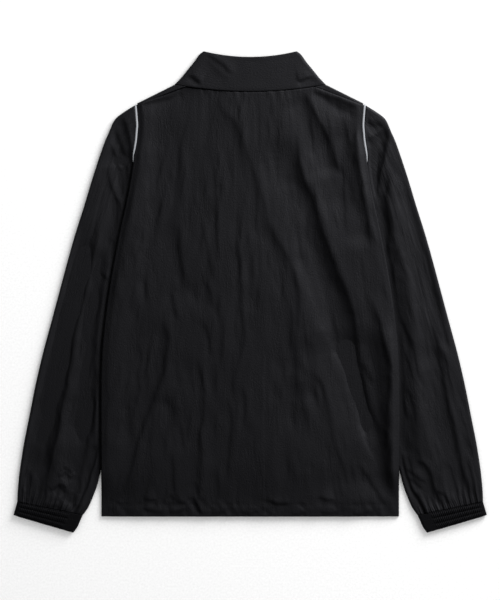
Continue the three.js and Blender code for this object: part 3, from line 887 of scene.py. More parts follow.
@dataclass
class BackPanel:
    """The back: folded under at both sides, over the sleeves, with a turned-up hem."""

    lay: Lay = LAY
    across: int = 250
    arc: int = 7
    under: int = 8
    armhole_height: float = 8.6
    stitch_groove: float = 0.45
    edge_drop: float = 0.9
    edge_width: float = 9.0
    yoke_drop: float = 0.9
    crinkle: Crinkle = Crinkle((-238, -352, 238, 322), 250, 11, lambda x, y: x * 0.0011)
    creases: tuple[Crease, ...] = (
        # the long deep fold on the right, and the bright slope to its left
        fold(20, 7, 0.7, (297, 132), (299, 160), (305, 182), (315, 207), (326, 243), (337, 273), (350, 306),
             (358, 348), (363, 383), (371, 412), (379, 440), fade=0.12),
        fold(18, 20, -0.22, (292, 230), (300, 265), (314, 306), (326, 334), (338, 358), (349, 384),
             (357, 404), (366, 440), (377, 468), (386, 490)),
        fold(5, 4, -0.3, (350, 388), (357, 408), (361, 428), (370, 453), (378, 470)),
        fold(5, 5, 0.34, (362, 360), (367, 374), (374, 386)),
        # from the neck down to the right
        fold(16, 5, 0.5, (304, 90), (310, 104), (313.5, 112), (319.5, 124), (328.5, 140), (335, 158),
             (341, 176), fade=0.14),
        fold(6, 4, 0.34, (341, 150), (343, 170), (344, 200), (347, 236)),
        fold(14, 5, 0.6, (359, 122), (355.5, 134), (356, 150), (359, 172), (363, 198), (368, 225),
             (372, 250), fade=0.15),
        fold(30, 24, 0.24, (342, 122), (347, 150), (351, 180), (356, 220)),
        fold(34, 18, 0.44, (369, 318), (376, 350), (382, 390), (385, 430), (388, 468), (392, 500),
             fade=0.15),
        fold(34, 34, -0.19, (154, 60), (150, 150), (146, 220), (138, 320), fade=0.15),
        fold(30, 30, -0.1, (128, 260), (124, 360), (120, 420), (120, 470)),
        fold(12, 6, 0.62, (366, 292), (374, 308), (381, 332), (387, 356), (388.5, 388), (387, 416),
             (387, 442), (389, 462), (393, 484), (398, 505), fade=0.15),
        fold(4, 5, 0.45, (358, 462), (372, 483), (382, 500), (392, 510), fade=0.3),
        # across the middle
        fold(20, 8, 0.2, (214, 94), (225, 112), (238, 128), (245, 150), (253, 174), (263, 199), (268, 224),
             (270, 245), fade=0.16),
        fold(15, 6, 0.28, (262, 214), (276, 238), (290, 266), (299, 294), (297, 328), (297, 360),
             (298, 390), (306, 416), (312, 448), fade=0.14),
        fold(4, 4, 0.26, (256, 180), (257, 208), (256, 238)),
        fold(9, 5, 0.28, (305, 366), (318, 380), (325, 396), (329, 416), (335, 446), (343, 466), (350, 500),
             fade=0.16),
        fold(4, 4, 0.3, (290, 300), (292, 333), (290, 358)),
        fold(4, 4, 0.3, (210, 150), (216, 180), (216, 218), (217, 245), (219, 268)),
        fold(4, 4, 0.3, (238, 224), (238, 250), (241, 280), (240, 306), (244, 330), (242, 352), (237, 372),
             (238, 390)),
        fold(4, 4, 0.3, (244, 384), (245, 406), (244, 430)),
        fold(5, 5, 0.32, (226, 394), (231, 412), (232, 434), (229, 454), (228, 486)),
        fold(4, 4, 0.26, (201, 210), (208, 256), (214, 286)),
        fold(4, 4, 0.3, (203, 280), (210, 294), (212, 310)),
        fold(4, 4, 0.34, (204, 318), (208, 338), (212, 358)),
        fold(6, 5, 0.36, (198, 352), (200, 372), (204, 396), (203, 418), (200, 436), (201, 460), (199, 484),
             (198, 504), fade=0.14),
        # down to the left
        fold(9, 5, 0.42, (181, 222), (179, 244), (182, 266), (184, 290)),
        fold(4, 4, 0.4, (171, 290), (174, 306), (177, 322)),
        fold(9, 6, 0.44, (163, 316), (167, 334), (166, 352), (163, 370), (157, 390), (149, 412), (141, 434),
             (135, 456), (128, 478), (121, 496), fade=0.12),
        fold(5, 5, 0.26, (138, 338), (141, 358), (138, 374), (142, 400)),
        fold(4, 4, 0.26, (144, 276), (146, 290), (147, 304)),
        fold(4, 4, 0.34, (171, 450), (174, 470), (175, 490), (182, 506)),
        fold(4, 4, 0.34, (193, 480), (198, 490), (201, 503)),
        fold(4, 4, 0.26, (180, 420), (183, 440), (184, 452)),
        # pulls towards the right piping, and beside the shoulder seams
        fold(4, 4, 0.8, (312, 91.5), (333, 98), (346, 102.6), (359, 108), fade=0.12),
        fold(6, 4, 0.5, (318, 95.5), (332, 101), (346, 106), (362, 112), fade=0.3),
        fold(6, 4, 0.4, (326, 101), (340, 107), (352, 112.5), (363, 116.5), fade=0.4),
        fold(4, 4, 0.7, (140, 103.5), (156, 100.5), (170, 97), (182, 91), fade=0.1),
        # puckers along the hem
        fold(4, 4, 0.6, (193, 496), (197, 504), (202, 516), fade=0.15),
        fold(4, 4, 0.5, (143, 508), (153, 512), (163, 511), fade=0.15),
        fold(4, 4, 0.5, (168, 512), (177, 512), (187, 508), fade=0.15),
        fold(4, 4, 0.45, (211, 513.5), (218, 513.5), (225, 511), fade=0.15),
        fold(4, 4, 0.55, (264, 499), (276, 503), (290, 504), fade=0.15),
        fold(4, 4, 0.45, (292, 515), (299, 514), (305, 511), fade=0.15),
        fold(4, 4, 0.45, (353, 515), (362, 514.5), (372, 511), fade=0.15),
        fold(4, 4, 0.5, (144, 497), (150, 501), (157, 500), fade=0.15),
        fold(4, 4, 0.45, (169, 494), (176, 500), (185, 504), fade=0.15),
        fold(4, 4, 0.45, (318, 497), (327, 501), (336, 500), fade=0.15),
        fold(4, 4, 0.4, (240, 512), (250, 514), (260, 510), fade=0.15),
        fold(4, 4, 0.4, (320, 511), (330, 514), (338, 512), fade=0.15),
    )

    def rows(self) -> Array:
        """Shares of the side at which the rows lie, closest at the hem's stitch line.

        Returns:
            Shares from the hem to the shoulder.
        """
        lay = self.lay
        length = lay.side_fold.length + lay.shoulder_y - lay.crossing_y
        hem = np.linspace(0.0, 30.0, 19) / length
        body = np.linspace(hem[-1], 1.0, 232)[1:]
        return np.concatenate([hem, body])

    def side(self, v: Array) -> Array:
        """Points of the right side at shares of its length.

        Args:
            v: Shares from the hem to the shoulder.

        Returns:
            Rows of x and y.
        """
        lay = self.lay
        share = lay.side_fold.length / (lay.side_fold.length + lay.shoulder_y - lay.crossing_y)
        t = np.clip((v - share) / (1 - share), 0.0, 1.0)
        y = mix(lay.crossing_y, lay.shoulder_y, t)
        x = lay.armhole.x_at(y) - lay.seam * ease(t * 4)
        arm = np.stack([x, mix(lay.crossing_y, lay.back_top_y(x), t)], axis=-1)
        return np.where((v <= share)[:, None], lay.side_fold.at(v / share), arm)

    def height(self, x: Array, y: Array) -> Array:
        """Outer height of the back.

        Args:
            x: Plan positions.
            y: Plan positions.

        Returns:
            Millimetres above the surface.
        """
        lay = self.lay
        inside = lay.body_side(y) - np.abs(x)
        free = ease((inside - 2) / 10)
        at_fold = lay.fold_bottom(y) + 2 * lay.fold_radius
        rim = mix(at_fold, self.armhole_height, ease((y - lay.crossing_y) / 40))
        below_top = lay.back_top_y(x) - y
        crown = mix(lay.neck_height(x), lay.back_height, ease(below_top / 60))
        middle = mix(lay.hem_height, crown, ease((y - lay.hem_y) / 90))
        up = y - lay.hem_y
        past = up - lay.hem_depth
        hem = lay.hem_proud * ease((4.0 - past) / 12.0)
        hem = hem - self.stitch_groove * np.exp(-np.abs(past) / np.where(past > 0.0, 1.8, 9.0))
        hem = hem + 0.05 * np.minimum(0.0, past)
        lumps = soft_noise(x / 9.0 + up / 16.0, up / 9.0, 77) + 0.7 * soft_noise(x / 4.5, up / 12.0, 76)
        patchy = 0.4 + 0.6 * ease(0.6 + soft_noise(x / 30.0, up / 90.0, 75))
        hem = hem + 0.6 * lumps * ease((32 - up) / 12) * patchy
        neck = 0.45 * soft_noise(x / 4.2, below_top / 26.0, 78) * ease((24 - below_top) / 20)
        neck = neck * ease((96 - np.abs(x)) / 20)
        fanned = x / (1 + 0.0011 * (320 - y))
        crinkled = self.crinkle.height(fanned, y) * ease(below_top / 12) * ease((up - 14) / 12)
        folds = rough_relief(self.creases, x, y, 301) + rough_relief(self.crinkle.creases(), x, y, 311)
        edge = self.edge_drop * np.exp(-((inside / self.edge_width) ** 2))
        yoke = self.yoke_drop * (ease(below_top / 50) - 1) * ease((150 - np.abs(x)) / 60)
        plain = mix(rim, middle, ease(inside / 80)) - edge + yoke
        return plain + (folds + hem + neck + crinkled) * free

    def folded_under(self, y: Array) -> Array:
        """Length of cloth past the start of the side fold, where the fold's edge is at y.

        Args:
            y: Plan positions, in millimetres.

        Returns:
            Millimetres.
        """
        lay = self.lay
        quarter = np.pi / 2 * lay.fold_radius
        above = mix(quarter, 1.6, ease((y - lay.crossing_y) / 18))
        start = lay.side_fold.x_at(y) - lay.fold_radius
        end = np.where(y > lay.armhole.first[1], lay.armhole.x_at(y), lay.side_seam.x_at(y))
        bend = np.arcsin(np.clip((end - start) / lay.fold_radius, 0.0, 1.0))
        below = lay.fold_radius * (np.pi - bend) + np.maximum(0.0, start - end)
        return np.where(y >= lay.crossing_y, above, below)

    def come_down(self, x: Array, y: float) -> Array:
        """How far the folded-under cloth has come down to the side seam, beyond the sleeve.

        Args:
            x: Distances from the middle.
            y: Plan position of the row.

        Returns:
            Millimetres.
        """
        lay = self.lay
        seam = lay.side_seam.x_at(y)
        room = np.minimum(9.0, lay.sleeve_inner.x_at(y) - seam + 1)
        below = ease((lay.armhole.first[1] - 22 - y) / 60)
        return below * ease((seam + room - x) / np.maximum(room, 0.5)) * lay.fold_bottom(y)

    def grid(self) -> tuple[Array, Array]:
        """Outside of the panel and its grain.

        Returns:
            Points of the outside, and where each lies on the cloth.
        """
        lay, r = self.lay, self.lay.fold_radius
        left = lambda v: self.side(v) * np.array([-1.0, 1.0])
        corner = self.side(np.array([0.0, 1.0]))
        lower = lambda u: np.stack([mix(-corner[0, 0], corner[0, 0], u), np.full(u.shape, lay.hem_y)], -1)

        def upper(u: Array) -> Array:
            """Upper edge of the panel."""
            x = mix(-corner[1, 0], corner[1, 0], u)
            return np.stack([x, lay.back_top_y(x)], axis=-1)

        plan = Patch(lower, upper, left, self.side)
        shares = self.rows()
        rims = self.side(shares)
        lines = []
        for v, (rim_x, rim_y) in zip(shares, rims):
            width = 2 * rim_x
            beyond = float(self.folded_under(np.array(rim_y)))
            arc = min(np.pi * r, 0.6 * beyond)
            s = np.concatenate([np.linspace(0, arc, self.arc + 1)[1:],
                                np.linspace(arc, beyond, self.under + 1)[1:]])
            turn = np.minimum(s / r, np.pi)
            gap = r * (1 - np.sin(turn)) + np.maximum(0.0, s - np.pi * r)
            drop = r * (1 - np.cos(turn))
            over = plan.row(np.linspace(r / width, 1 - r / width, self.across + 1), v)
            outer_right, outer_left = plan.row(1 - gap / width, v), plan.row(gap / width, v)
            down = [drop + self.come_down(np.abs(p[:, 0]), rim_y) for p in (outer_left, outer_right)]
            flat = np.vstack([outer_left[::-1], over, outer_right])
            fall = np.concatenate([down[0][::-1], np.zeros(len(over)), down[1]])
            lines.append(np.column_stack([flat, fall, np.concatenate([s[::-1], np.zeros(len(over)), s])]))
        rows = np.array(lines)
        k = self.arc + self.under
        x, y, fall = rows[..., 0], rows[..., 1], rows[..., 2]
        z = np.empty(x.shape)
        z[:, k:-k] = self.height(x[:, k:-k], y[:, k:-k])
        z[:, :k] = z[:, k : k + 1] - fall[:, :k]
        z[:, -k:] = z[:, -k - 1 : -k] - fall[:, -k:]
        return np.stack([x, y, z], axis=-1), np.stack([x, y], axis=-1)

    def build(self) -> bpy.types.Object:
        """Make the piece in place of its solid.

        Returns:
            The piece.
        """
        grid, grain = self.grid()
        piece = cloth_wall("back_cloth", grid, self.lay.cloth, grain)
        dress(piece, SHELL)
        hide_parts("back_panel")
        return piece


@dataclass
class Sleeve:
    """A long set-in sleeve, flattened, its head cut to the armhole and its end gathered."""

    side: Side
    creases: tuple[Crease, ...]
    lay: Lay = LAY
    over: int = 140
    arc: int = 6
    under: int = 30
    lines: int = 285
    turn_outer: float = 4.2
    turn_hidden: float = 2.1
    turn_wrist: float = 3.2
    arm_height: float = 7.4
    seam_height: float = 7.6
    wrist_height: float = 6.6
    loft: float = 1.0
    least: float = 2.9
    clear: float = 2.0
    rise: float = 60.0
    gathers: int = 12
    gather_height: float = 1.2
    gather_length: float = 62.0

    def crinkle(self) -> Crinkle:
        """Crinkle of this sleeve, which leans as the sleeve does.

        Returns:
            The crinkle.
        """
        lean = 0.27 * self.side.value
        low, high = sorted((140 * self.side.value, 380 * self.side.value))
        return Crinkle((low, -330, high, 290), 150, 31 + self.side.value, lambda x, y: lean)

    def arm_edge(self, u: Array) -> Array:
        """Sleeve's edge at the armhole, from shoulder to underarm; the piping lies inside it.

        Args:
            u: Shares from shoulder to underarm.

        Returns:
            Rows of x and y.
        """
        p = self.lay.armhole.at(1 - u)
        offset = mix(0.2, self.lay.piping_radius + 2 * self.lay.seam, ease((p[:, 1] - 188) / 14))
        return p + np.stack([offset, np.zeros(len(p))], axis=-1)

    def plan(self) -> Patch:
        """Plan of the sleeve: u from its outer fold to its inner one, v from armhole to cuff.

        Returns:
            The plan.
        """
        lay = self.lay
        a, b = lay.sleeve_outer.last, lay.sleeve_inner.last
        cuff_line = lambda u: a + (b - a) * u[:, None]
        return Patch(self.arm_edge, cuff_line, lay.sleeve_outer.at, lay.sleeve_inner.at)

    def height(self, u: Array, v: Array, x: Array, y: Array, width: Array) -> Array:
        """Outer height of the upper layer.

        Args:
            u: Shares across.
            v: Shares along.
            x: Plan positions, on the wearer's right.
            y: Plan positions.
            width: Widths of the rows.

        Returns:
            Millimetres above the surface.
        """
        lay, sign = self.lay, self.side.value
        reach = lay.sleeve_outer.length
        from_cuff = (1 - v) * reach
        rim = mix(self.arm_height, self.wrist_height, np.maximum(u, ease((v - 0.8) / 0.2)))
        edge = ease(u / 0.1) * ease((1 - u) / 0.1)
        near = ease(1 - from_cuff / self.gather_length)
        phase = 2 * np.pi * self.gathers * u + 1.6 * soft_noise(u * 7, v * 30, 5 + sign)
        patchy = 0.65 + 0.5 * soft_noise(u * 13, v * 12, 50 + sign)
        gather = self.gather_height * near**1.5 * np.cos(phase) * patchy
        fine = 0.45 * ease(1 - from_cuff / 26.0) * np.cos(2.6 * phase + 2.0)
        folds = rough_relief(self.creases, sign * x, y, 321)
        folds = folds + rough_relief(self.crinkle().creases(), sign * x, y, 331) * (1 - 0.6 * near)
        crinkled = self.crinkle().height((u - 0.5) * width * sign, v * reach)
        from_arm = ease(v * reach / 10.0)
        loft = self.loft * mix(1, 0.4, near) * np.maximum(0.0, np.sin(np.pi * u)) ** 0.75
        uneven = (folds + gather + fine + crinkled * from_arm * (1 - 0.5 * near)) * edge
        at_body = mix(lay.under_body, self.seam_height, ease((y - 212) / 24))
        outside = x - lay.body_side(np.maximum(lay.hem_y, y))
        by_gathers = near * ease(outside / self.gather_length)
        share = np.maximum(ease((outside - self.clear) / self.rise), by_gathers)
        free = ease((outside - 1) / 9)
        return np.maximum(self.least, mix(at_body, rim + loft, share) + uneven * free)

    def build(self) -> bpy.types.Object:
        """Make the piece in place of its solid.

        Returns:
            The piece.
        """
        lay, plan = self.lay, self.plan()
        angles = np.pi * np.arange(1, self.arc) / self.arc
        shares, plans, widths = [], [], []
        rows_v = np.linspace(0.0, 1.0, self.lines)
        for v in rows_v:
            width = float(np.sum(np.linalg.norm(np.diff(plan.row(np.linspace(0, 1, 25), v), axis=0), axis=1)))
            hidden = mix(self.turn_hidden, self.turn_wrist, ease((v - 0.72) / 0.2))
            g0, g1 = self.turn_outer / width, float(hidden) / width
            over = np.linspace(g0, 1 - g1, self.over + 1)
            turned_in = 1 - g1 * (1 - np.sin(angles))
            turned_out = (g0 * (1 - np.sin(angles)))[::-1]
            below = np.linspace(1 - g1, g0, self.under + 1)
            shares.append(np.concatenate([over, turned_in, below, turned_out]))
            plans.append(plan.row(shares[-1], v))
            widths.append(width)
        u, flat = np.array(shares), np.array(plans)
        top = slice(0, self.over + 1)
        along, across = np.broadcast_to(rows_v[:, None], u.shape), np.array(widths)[:, None]
        upper = self.height(u[:, top], along[:, top], flat[:, top, 0], flat[:, top, 1], across)
        halves = (1 + np.cos(angles)) / 2
        grid = np.dstack([flat, np.concatenate([
            upper, upper[:, -1:] * halves, np.zeros((self.lines, self.under + 1)),
            upper[:, :1] * halves[::-1],
        ], axis=1)])
        grain = np.stack([(u - 0.5) * across, along * lay.sleeve_outer.length], axis=-1)
        if self.side is Side.LEFT:
            grid = (grid * np.array([-1.0, 1.0, 1.0]))[:, ::-1]
            grain = grain[:, ::-1]
        name = self.side.name.lower()
        piece = cloth_wall(f"{name}_sleeve_cloth", grid, lay.cloth, grain, closed=True)
        dress(piece, SHELL)
        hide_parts(f"{name}_sleeve")
        return piece


@dataclass
class Cuff:
    """An elastic cuff: cloth gathered over elastic in three bands, plain by the underarm seam."""

    side: Side
    lay: Lay = LAY
    outer: Edge = Edge((378, -340.6), (381, -351), (384, -361.4))
    inner: Edge = Edge((271.6, -362.2), (275.5, -371), (280.5, -382), (286.6, -390.2))
    ribs: int = 28
    plain: float = 0.15
    rib_height: float = 0.8
    top: float = 7.0
    loft: float = 0.8
    columns: int = 190
    lines: int = 30
    arc: int = 5
    stitch_rows: tuple[float, ...] = (0.04, 0.34, 0.66, 0.95)

    def plan(self) -> Patch:
        """Plan of the cuff: u from its outer end to its inner one, v from sleeve to wrist.

        Returns:
            The plan.
        """
        ends = [(self.outer.first, self.inner.first), (self.outer.last, self.inner.last)]
        lines = [lambda u, a=a, b=b: a + (b - a) * u[:, None] for a, b in ends]
        return Patch(lines[0], lines[1], self.outer.at, self.inner.at)

    def height(self, u: Array, v: float) -> Array:
        """Outer height of the cuff's upper layer at shares across and along.

        Args:
            u: Shares across.
            v: Share along.

        Returns:
            Millimetres above the surface.
        """
        t = (u - 0.034) / 0.932 / (1 - self.plain)
        gathered = ease(t / 0.08) * ease((1 - t) / 0.05)
        held = min(abs(v - row) for row in self.stitch_rows)
        swell = float(ease(np.array(held / 0.1)))
        drift = 0.9 * soft_noise(t * 11, np.full(t.shape, v * 2.2), 8 + self.side.value)
        uneven = 0.75 + 0.4 * soft_noise(t * 20, np.full(t.shape, v * 4.0), 9)
        rib = self.rib_height * (0.45 + 0.55 * swell) * np.cos(2 * np.pi * self.ribs * t + drift) * uneven
        band = 0.9 * swell - 0.45
        body = self.top + self.loft * np.sin(np.pi * u) * np.sin(np.pi * mix(0.25, 0.8, v))
        return body + (rib + band) * gathered

    def build(self) -> list[bpy.types.Object]:
        """Make the cuff and its stitch rows in place of its solid.

        Returns:
            The pieces.
        """
        plan, g = self.plan(), 0.034
        angles = np.pi * np.arange(1, self.arc) / self.arc
        rows, grains = [], []
        for v in np.linspace(0.0, 1.0, self.lines):
            u_over = np.linspace(g, 1 - g, self.columns + 1)
            z_over = self.height(u_over, v)
            bend = g * (1 - np.sin(angles))
            u = np.concatenate([u_over, 1 - bend, np.linspace(1 - g, g, 41), bend[::-1]])
            halves = (1 + np.cos(angles)) / 2
            z = np.concatenate([z_over, z_over[-1] * halves, np.zeros(41), (z_over[0] * halves)[::-1]])
            rows.append(np.column_stack([plan.row(u, v), z]))
            grains.append(np.stack([u * 106.0, np.full(u.shape, v * 28.0)], axis=-1))
        grid, grain = np.array(rows), np.array(grains)
        if self.side is Side.LEFT:
            grid, grain = (grid * np.array([-1.0, 1.0, 1.0]))[:, ::-1], grain[:, ::-1]
        name = self.side.name.lower()
        piece = cloth_wall(f"{name}_cuff_cloth", grid, self.lay.cuff_cloth, grain, closed=True)
        dress(piece, ELASTIC)
        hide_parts(f"{name}_cuff")
        stitches = self.stitches(plan)
        return [piece, stitches]

    def stitches(self, plan: Patch) -> bpy.types.Object:
        """Thread of the two stitch rows that split the bands.

        Args:
            plan: Plan of the cuff.

        Returns:
            The piece.
        """
        runs = []
        for v in self.stitch_rows[1:3]:
            u = np.linspace(0.05, 0.95, 45)
            for a, b in zip(u[:-1], u[1:]):
                t = np.linspace(a, mix(a, b, 0.72), 4)
                flat = plan.row(t, v) * np.array([self.side.value, 1.0])
                z = self.height(t, v) + np.array([-0.12, 0.12, 0.12, -0.12])
                runs.append((np.column_stack([flat, z]), np.array([0.16, 0.2, 0.2, 0.16])))
        piece = joined_tubes(f"{self.side.name.lower()}_cuff_stitches", runs)
        dress(piece, THREAD)
        return piece


@dataclass
class Collar:
    """The stand collar: one strip round the neck, folded at both sides, its ends at the zip."""

    lay: Lay = LAY
    top_y: float = 380.8
    front_top_y: float = 330.0
    top_rise: float = 1.0
    over: int = 118
    arc: int = 7
    front: int = 40
    lines: int = 34
    zip_edge: float = 3.4
    creases: tuple[Crease, ...] = (
        fold(3.5, 5, 0.8, (183, 74.5), (189, 75.8), (193, 77.6), (197, 81.2), (202, 84), fade=0.2),
        fold(4, 5, 0.42, (203, 52), (212, 57.4), (218, 62), (224, 66.2), (228, 71), (236, 75)),
        fold(7, 7, 0.16, (203, 56), (212, 66), (220, 74), (232, 82)),
        fold(5, 3.5, -0.75, (319, 76), (312, 76.6), (307, 78.6), (302, 80.6), (296, 82), fade=0.2),
    )

    def row(self, v: float) -> tuple[Array, Array]:
        """Outside of the collar at one share of its height, and its grain.

        Args:
            v: Share of the height.

        Returns:
            Points of the row, and where each lies on the cloth.
        """
        lay, r = self.lay, self.lay.shoulder_radius
        fold = lay.collar_side.at(np.array([v]))[0]
        back_y, front_y = mix(lay.neck_y, self.top_y, v), mix(lay.front_neck_y, self.front_top_y, v)
        line = lambda middle, x: mix(middle, fold[1], (x / fold[0]) ** 2)
        reach = fold[0] - r
        x = np.linspace(-reach, reach, self.over + 1)
        y = line(back_y, x)
        z = 2 * r + mix(lay.neck_rise, self.top_rise, v) * (1 - (x / fold[0]) ** 2)
        free = ease((reach - np.abs(x)) / 14) * ease(np.array(v / 0.12)) * ease(np.array((1.04 - v) / 0.2))
        ripple = 0.22 * soft_noise(x / 21.0, np.full(x.shape, v * 3.0), 21)
        z = z + (relief(self.creases, x, y) + ripple) * free
        z = z - 0.35 * np.exp(-((v / 0.05) ** 2)) + 0.15 * np.exp(-(((v - 0.93) / 0.05) ** 2))
        angles = np.pi * np.arange(1, self.arc) / self.arc
        side_x = fold[0] - r * (1 - np.sin(angles))
        side_y = np.where(np.cos(angles) > 0, line(back_y, side_x), line(front_y, side_x))
        edge_z = z[-1]
        side_z = edge_z * (1 + np.cos(angles)) / 2
        front_x = mix(reach, self.zip_edge, np.linspace(0, 1, self.front + 1) ** 0.8)
        front_line = line(front_y, front_x)
        side = np.vstack([
            np.column_stack([side_x, side_y, side_z]),
            np.column_stack([front_x, front_line, lay.lift(front_x, front_line)]),
        ])
        mirror = (side * np.array([-1.0, 1.0, 1.0]))[::-1]
        grid = np.vstack([mirror, np.column_stack([x, y, z]), side])
        return grid, np.stack([grid[:, 0], np.full(len(grid), v * 60.0)], axis=-1)

    def build(self) -> bpy.types.Object:
        """Make the piece in place of its solid.

        Returns:
            The piece.
        """
        made = [self.row(v) for v in np.linspace(0.0, 1.0, self.lines)]
        grid, grain = np.array([m[0] for m in made]), np.array([m[1] for m in made])
        piece = cloth_wall("collar_cloth", grid, self.lay.collar_cloth, grain)
        dress(piece, COLLAR_CLOTH)
        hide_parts("collar")
        return piece


@dataclass
class FrontPanel:
    """One front: flat on the surface, over the shoulder's edge and down to the shoulder seam."""

    side: Side
    lay: Lay = LAY
    across: int = 48
    lines: int = 96
    arc: int = 6
    strip: int = 8
    zip_edge: float = 3.4
    shoulder_edge: tuple[tuple[float, float], ...] = ((183.4, 306.0), (123.9, 335.6))
    inward: tuple[float, float] = (-0.56, -0.83)

    def outer_edge(self, t: Array) -> Array:
        """Side seam and armhole edge, from the hem to the shoulder, at shares of their length.

        Args:
            t: Shares of the edge.

        Returns:
            Rows of x and y.
        """
        lay = self.lay
        total = lay.side_seam.length + lay.armhole.length
        share = lay.side_seam.length / total
        seam = lay.side_seam.at(t / share) - np.array([2 * lay.seam, 0.0])
        arm = lay.armhole.at((t - share) / (1 - share))
        offset = mix(0.2, lay.piping_radius + 2 * lay.seam, ease((arm[:, 1] - 188) / 14))
        inset = lay.seam + (2 * lay.piping_radius + lay.seam) * ease((arm[:, 1] - 240) / 40)
        arm = arm + np.stack([offset - inset, np.zeros(len(arm))], axis=-1)
        return np.where((t <= share)[:, None], seam, arm)

    def inner_edge(self, t: Array) -> Array:
        """Zip edge and neckline, from the hem to the neck point, at shares of their length.

        Args:
            t: Shares of the edge.

        Returns:
            Rows of x and y.
        """
        lay = self.lay
        reach = lay.collar_side.first[0] - lay.shoulder_radius
        straight = 0.8
        x = mix(self.zip_edge, reach, np.clip((t - straight) / (1 - straight), 0, 1))
        neck_y = mix(lay.front_neck_y, lay.collar_side.first[1], lay.neck_share(x)) - lay.seam
        y = np.where(t < straight, mix(lay.hem_y, lay.front_neck_y - lay.seam, t / straight), neck_y)
        return np.stack([x + 0.3 * (t > straight), y], axis=-1)

    def build(self) -> bpy.types.Object:
        """Make the piece in place of its solid.

        Returns:
            The piece.
        """
        lay, r = self.lay, self.lay.shoulder_radius
        t = np.linspace(0.0, 1.0, self.lines + 1)[: -max(1, int(self.lines * 0.012))]
        columns = np.linspace(0.0, 1.0, self.across + 1)[None, :, None]
        outer, inner = self.outer_edge(t), self.inner_edge(t)
        flat = outer[:, None] + (inner - outer)[:, None] * columns
        floor_rows = np.concatenate([flat, np.zeros((*flat.shape[:2], 1))], axis=-1)
        edge, seam = np.array(self.shoulder_edge), np.array(lay.shoulder_seam)
        u = columns[0]
        rim = edge[0] + (edge[1] - edge[0]) * u
        target = seam[0] + (seam[1] - seam[0]) * u
        turn = []
        for angle in np.linspace(0.0, np.pi / 2, self.arc):
            place = rim + np.array(self.inward) * r * (1 - np.sin(angle))
            turn.append(np.column_stack([place, np.full(len(place), r * (1 - np.cos(angle)))]))
        reach = np.linalg.norm(target - rim, axis=1)
        for share in np.linspace(0.0, 1.0, self.strip + 1)[1:] ** 1.4:
            gap = np.minimum(r, reach * share)
            place = mix(rim, target, share)
            z = r + np.sqrt(r * r - (r - gap) ** 2)
            z = mix(z, lay.neck_height(place[:, 0]), u[:, 0] * share * share)
            turn.append(np.column_stack([place, z]))
        grid = np.concatenate([floor_rows, np.array(turn)])
        grain = grid[..., :2].copy()
        if self.side is Side.LEFT:
            grid, grain = (grid * np.array([-1.0, 1.0, 1.0]))[:, ::-1], grain[:, ::-1]
        name = self.side.name.lower()
        piece = cloth_wall(f"{name}_front_cloth", grid, lay.cloth, grain)
        dress(piece, SHELL)
        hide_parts(f"{name}_front")
        return piece


@dataclass
class Piping:
    """Light corded piping: round the shoulder's edge, down the armhole and under the fold."""

    side: Side
    lay: Lay = LAY
    radius: float = 1.55
    start: tuple[tuple[float, float, float], ...] = (
        (185.3, 296, 1.6), (185.6, 301, 1.8), (185.8, 304, 3.4),
    )
    route: tuple[tuple[float, float], ...] = (
        (302.4, 5.6), (299.5, 7.0), (290, 7.4), (270, 7.5), (245, 7.5), (233, 7.3), (224, 6.6),
        (215.5, 5.2), (208, 3.4),
    )

    def build(self) -> bpy.types.Object:
        """Make the piece in place of its solid.

        Returns:
            The piece.
        """
        down = [(float(self.lay.armhole.x_at(y)) + 0.2, y, z) for y, z in self.route]
        key = np.array([*self.start, *down])
        run = np.concatenate([[0.0], np.cumsum(np.linalg.norm(np.diff(key, axis=0), axis=1))])
        t = np.linspace(0.0, run[-1], 90)
        path = np.stack([np.interp(t, run, key[:, k]) for k in range(3)], axis=-1)
        for _ in range(6):
            path[1:-1] = (path[:-2] + 2 * path[1:-1] + path[2:]) / 4
        path[:, 0] *= self.side.value
        points, faces = tube(path, np.full(len(path), self.radius), 14)
        piece = mesh_object(f"{self.side.name.lower()}_piping_cord", points, clean_faces(faces))
        ring = np.arange(len(points)) % 14
        store_grain(piece, np.column_stack([ring * 0.7, points[:, 1], np.zeros(len(points))]))
        dress(piece, CORD)
        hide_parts(f"{self.side.name.lower()}_piping")
        return piece


@dataclass
class HemStitching:
    """The single row of stitches that holds the turned-up hem."""

    back: BackPanel
    pitch: float = 3.0
    reach: float = 236.0

    def build(self) -> bpy.types.Object:
        """Make the thread.

        Returns:
            The piece.
        """
        y = self.back.lay.hem_y + self.back.lay.hem_depth
        runs = []
        for x in np.arange(-self.reach, self.reach - self.pitch, self.pitch):
            at = x + np.linspace(0.0, self.pitch * 0.74, 4)
            across = np.full(4, y)
            z = self.back.height(at, across) + np.array([-0.15, 0.1, 0.1, -0.15])
            runs.append((np.column_stack([at, across, z]), np.array([0.17, 0.22, 0.22, 0.17])))
        piece = joined_tubes("hem_stitches", runs)
        dress(piece, THREAD)
        return piece


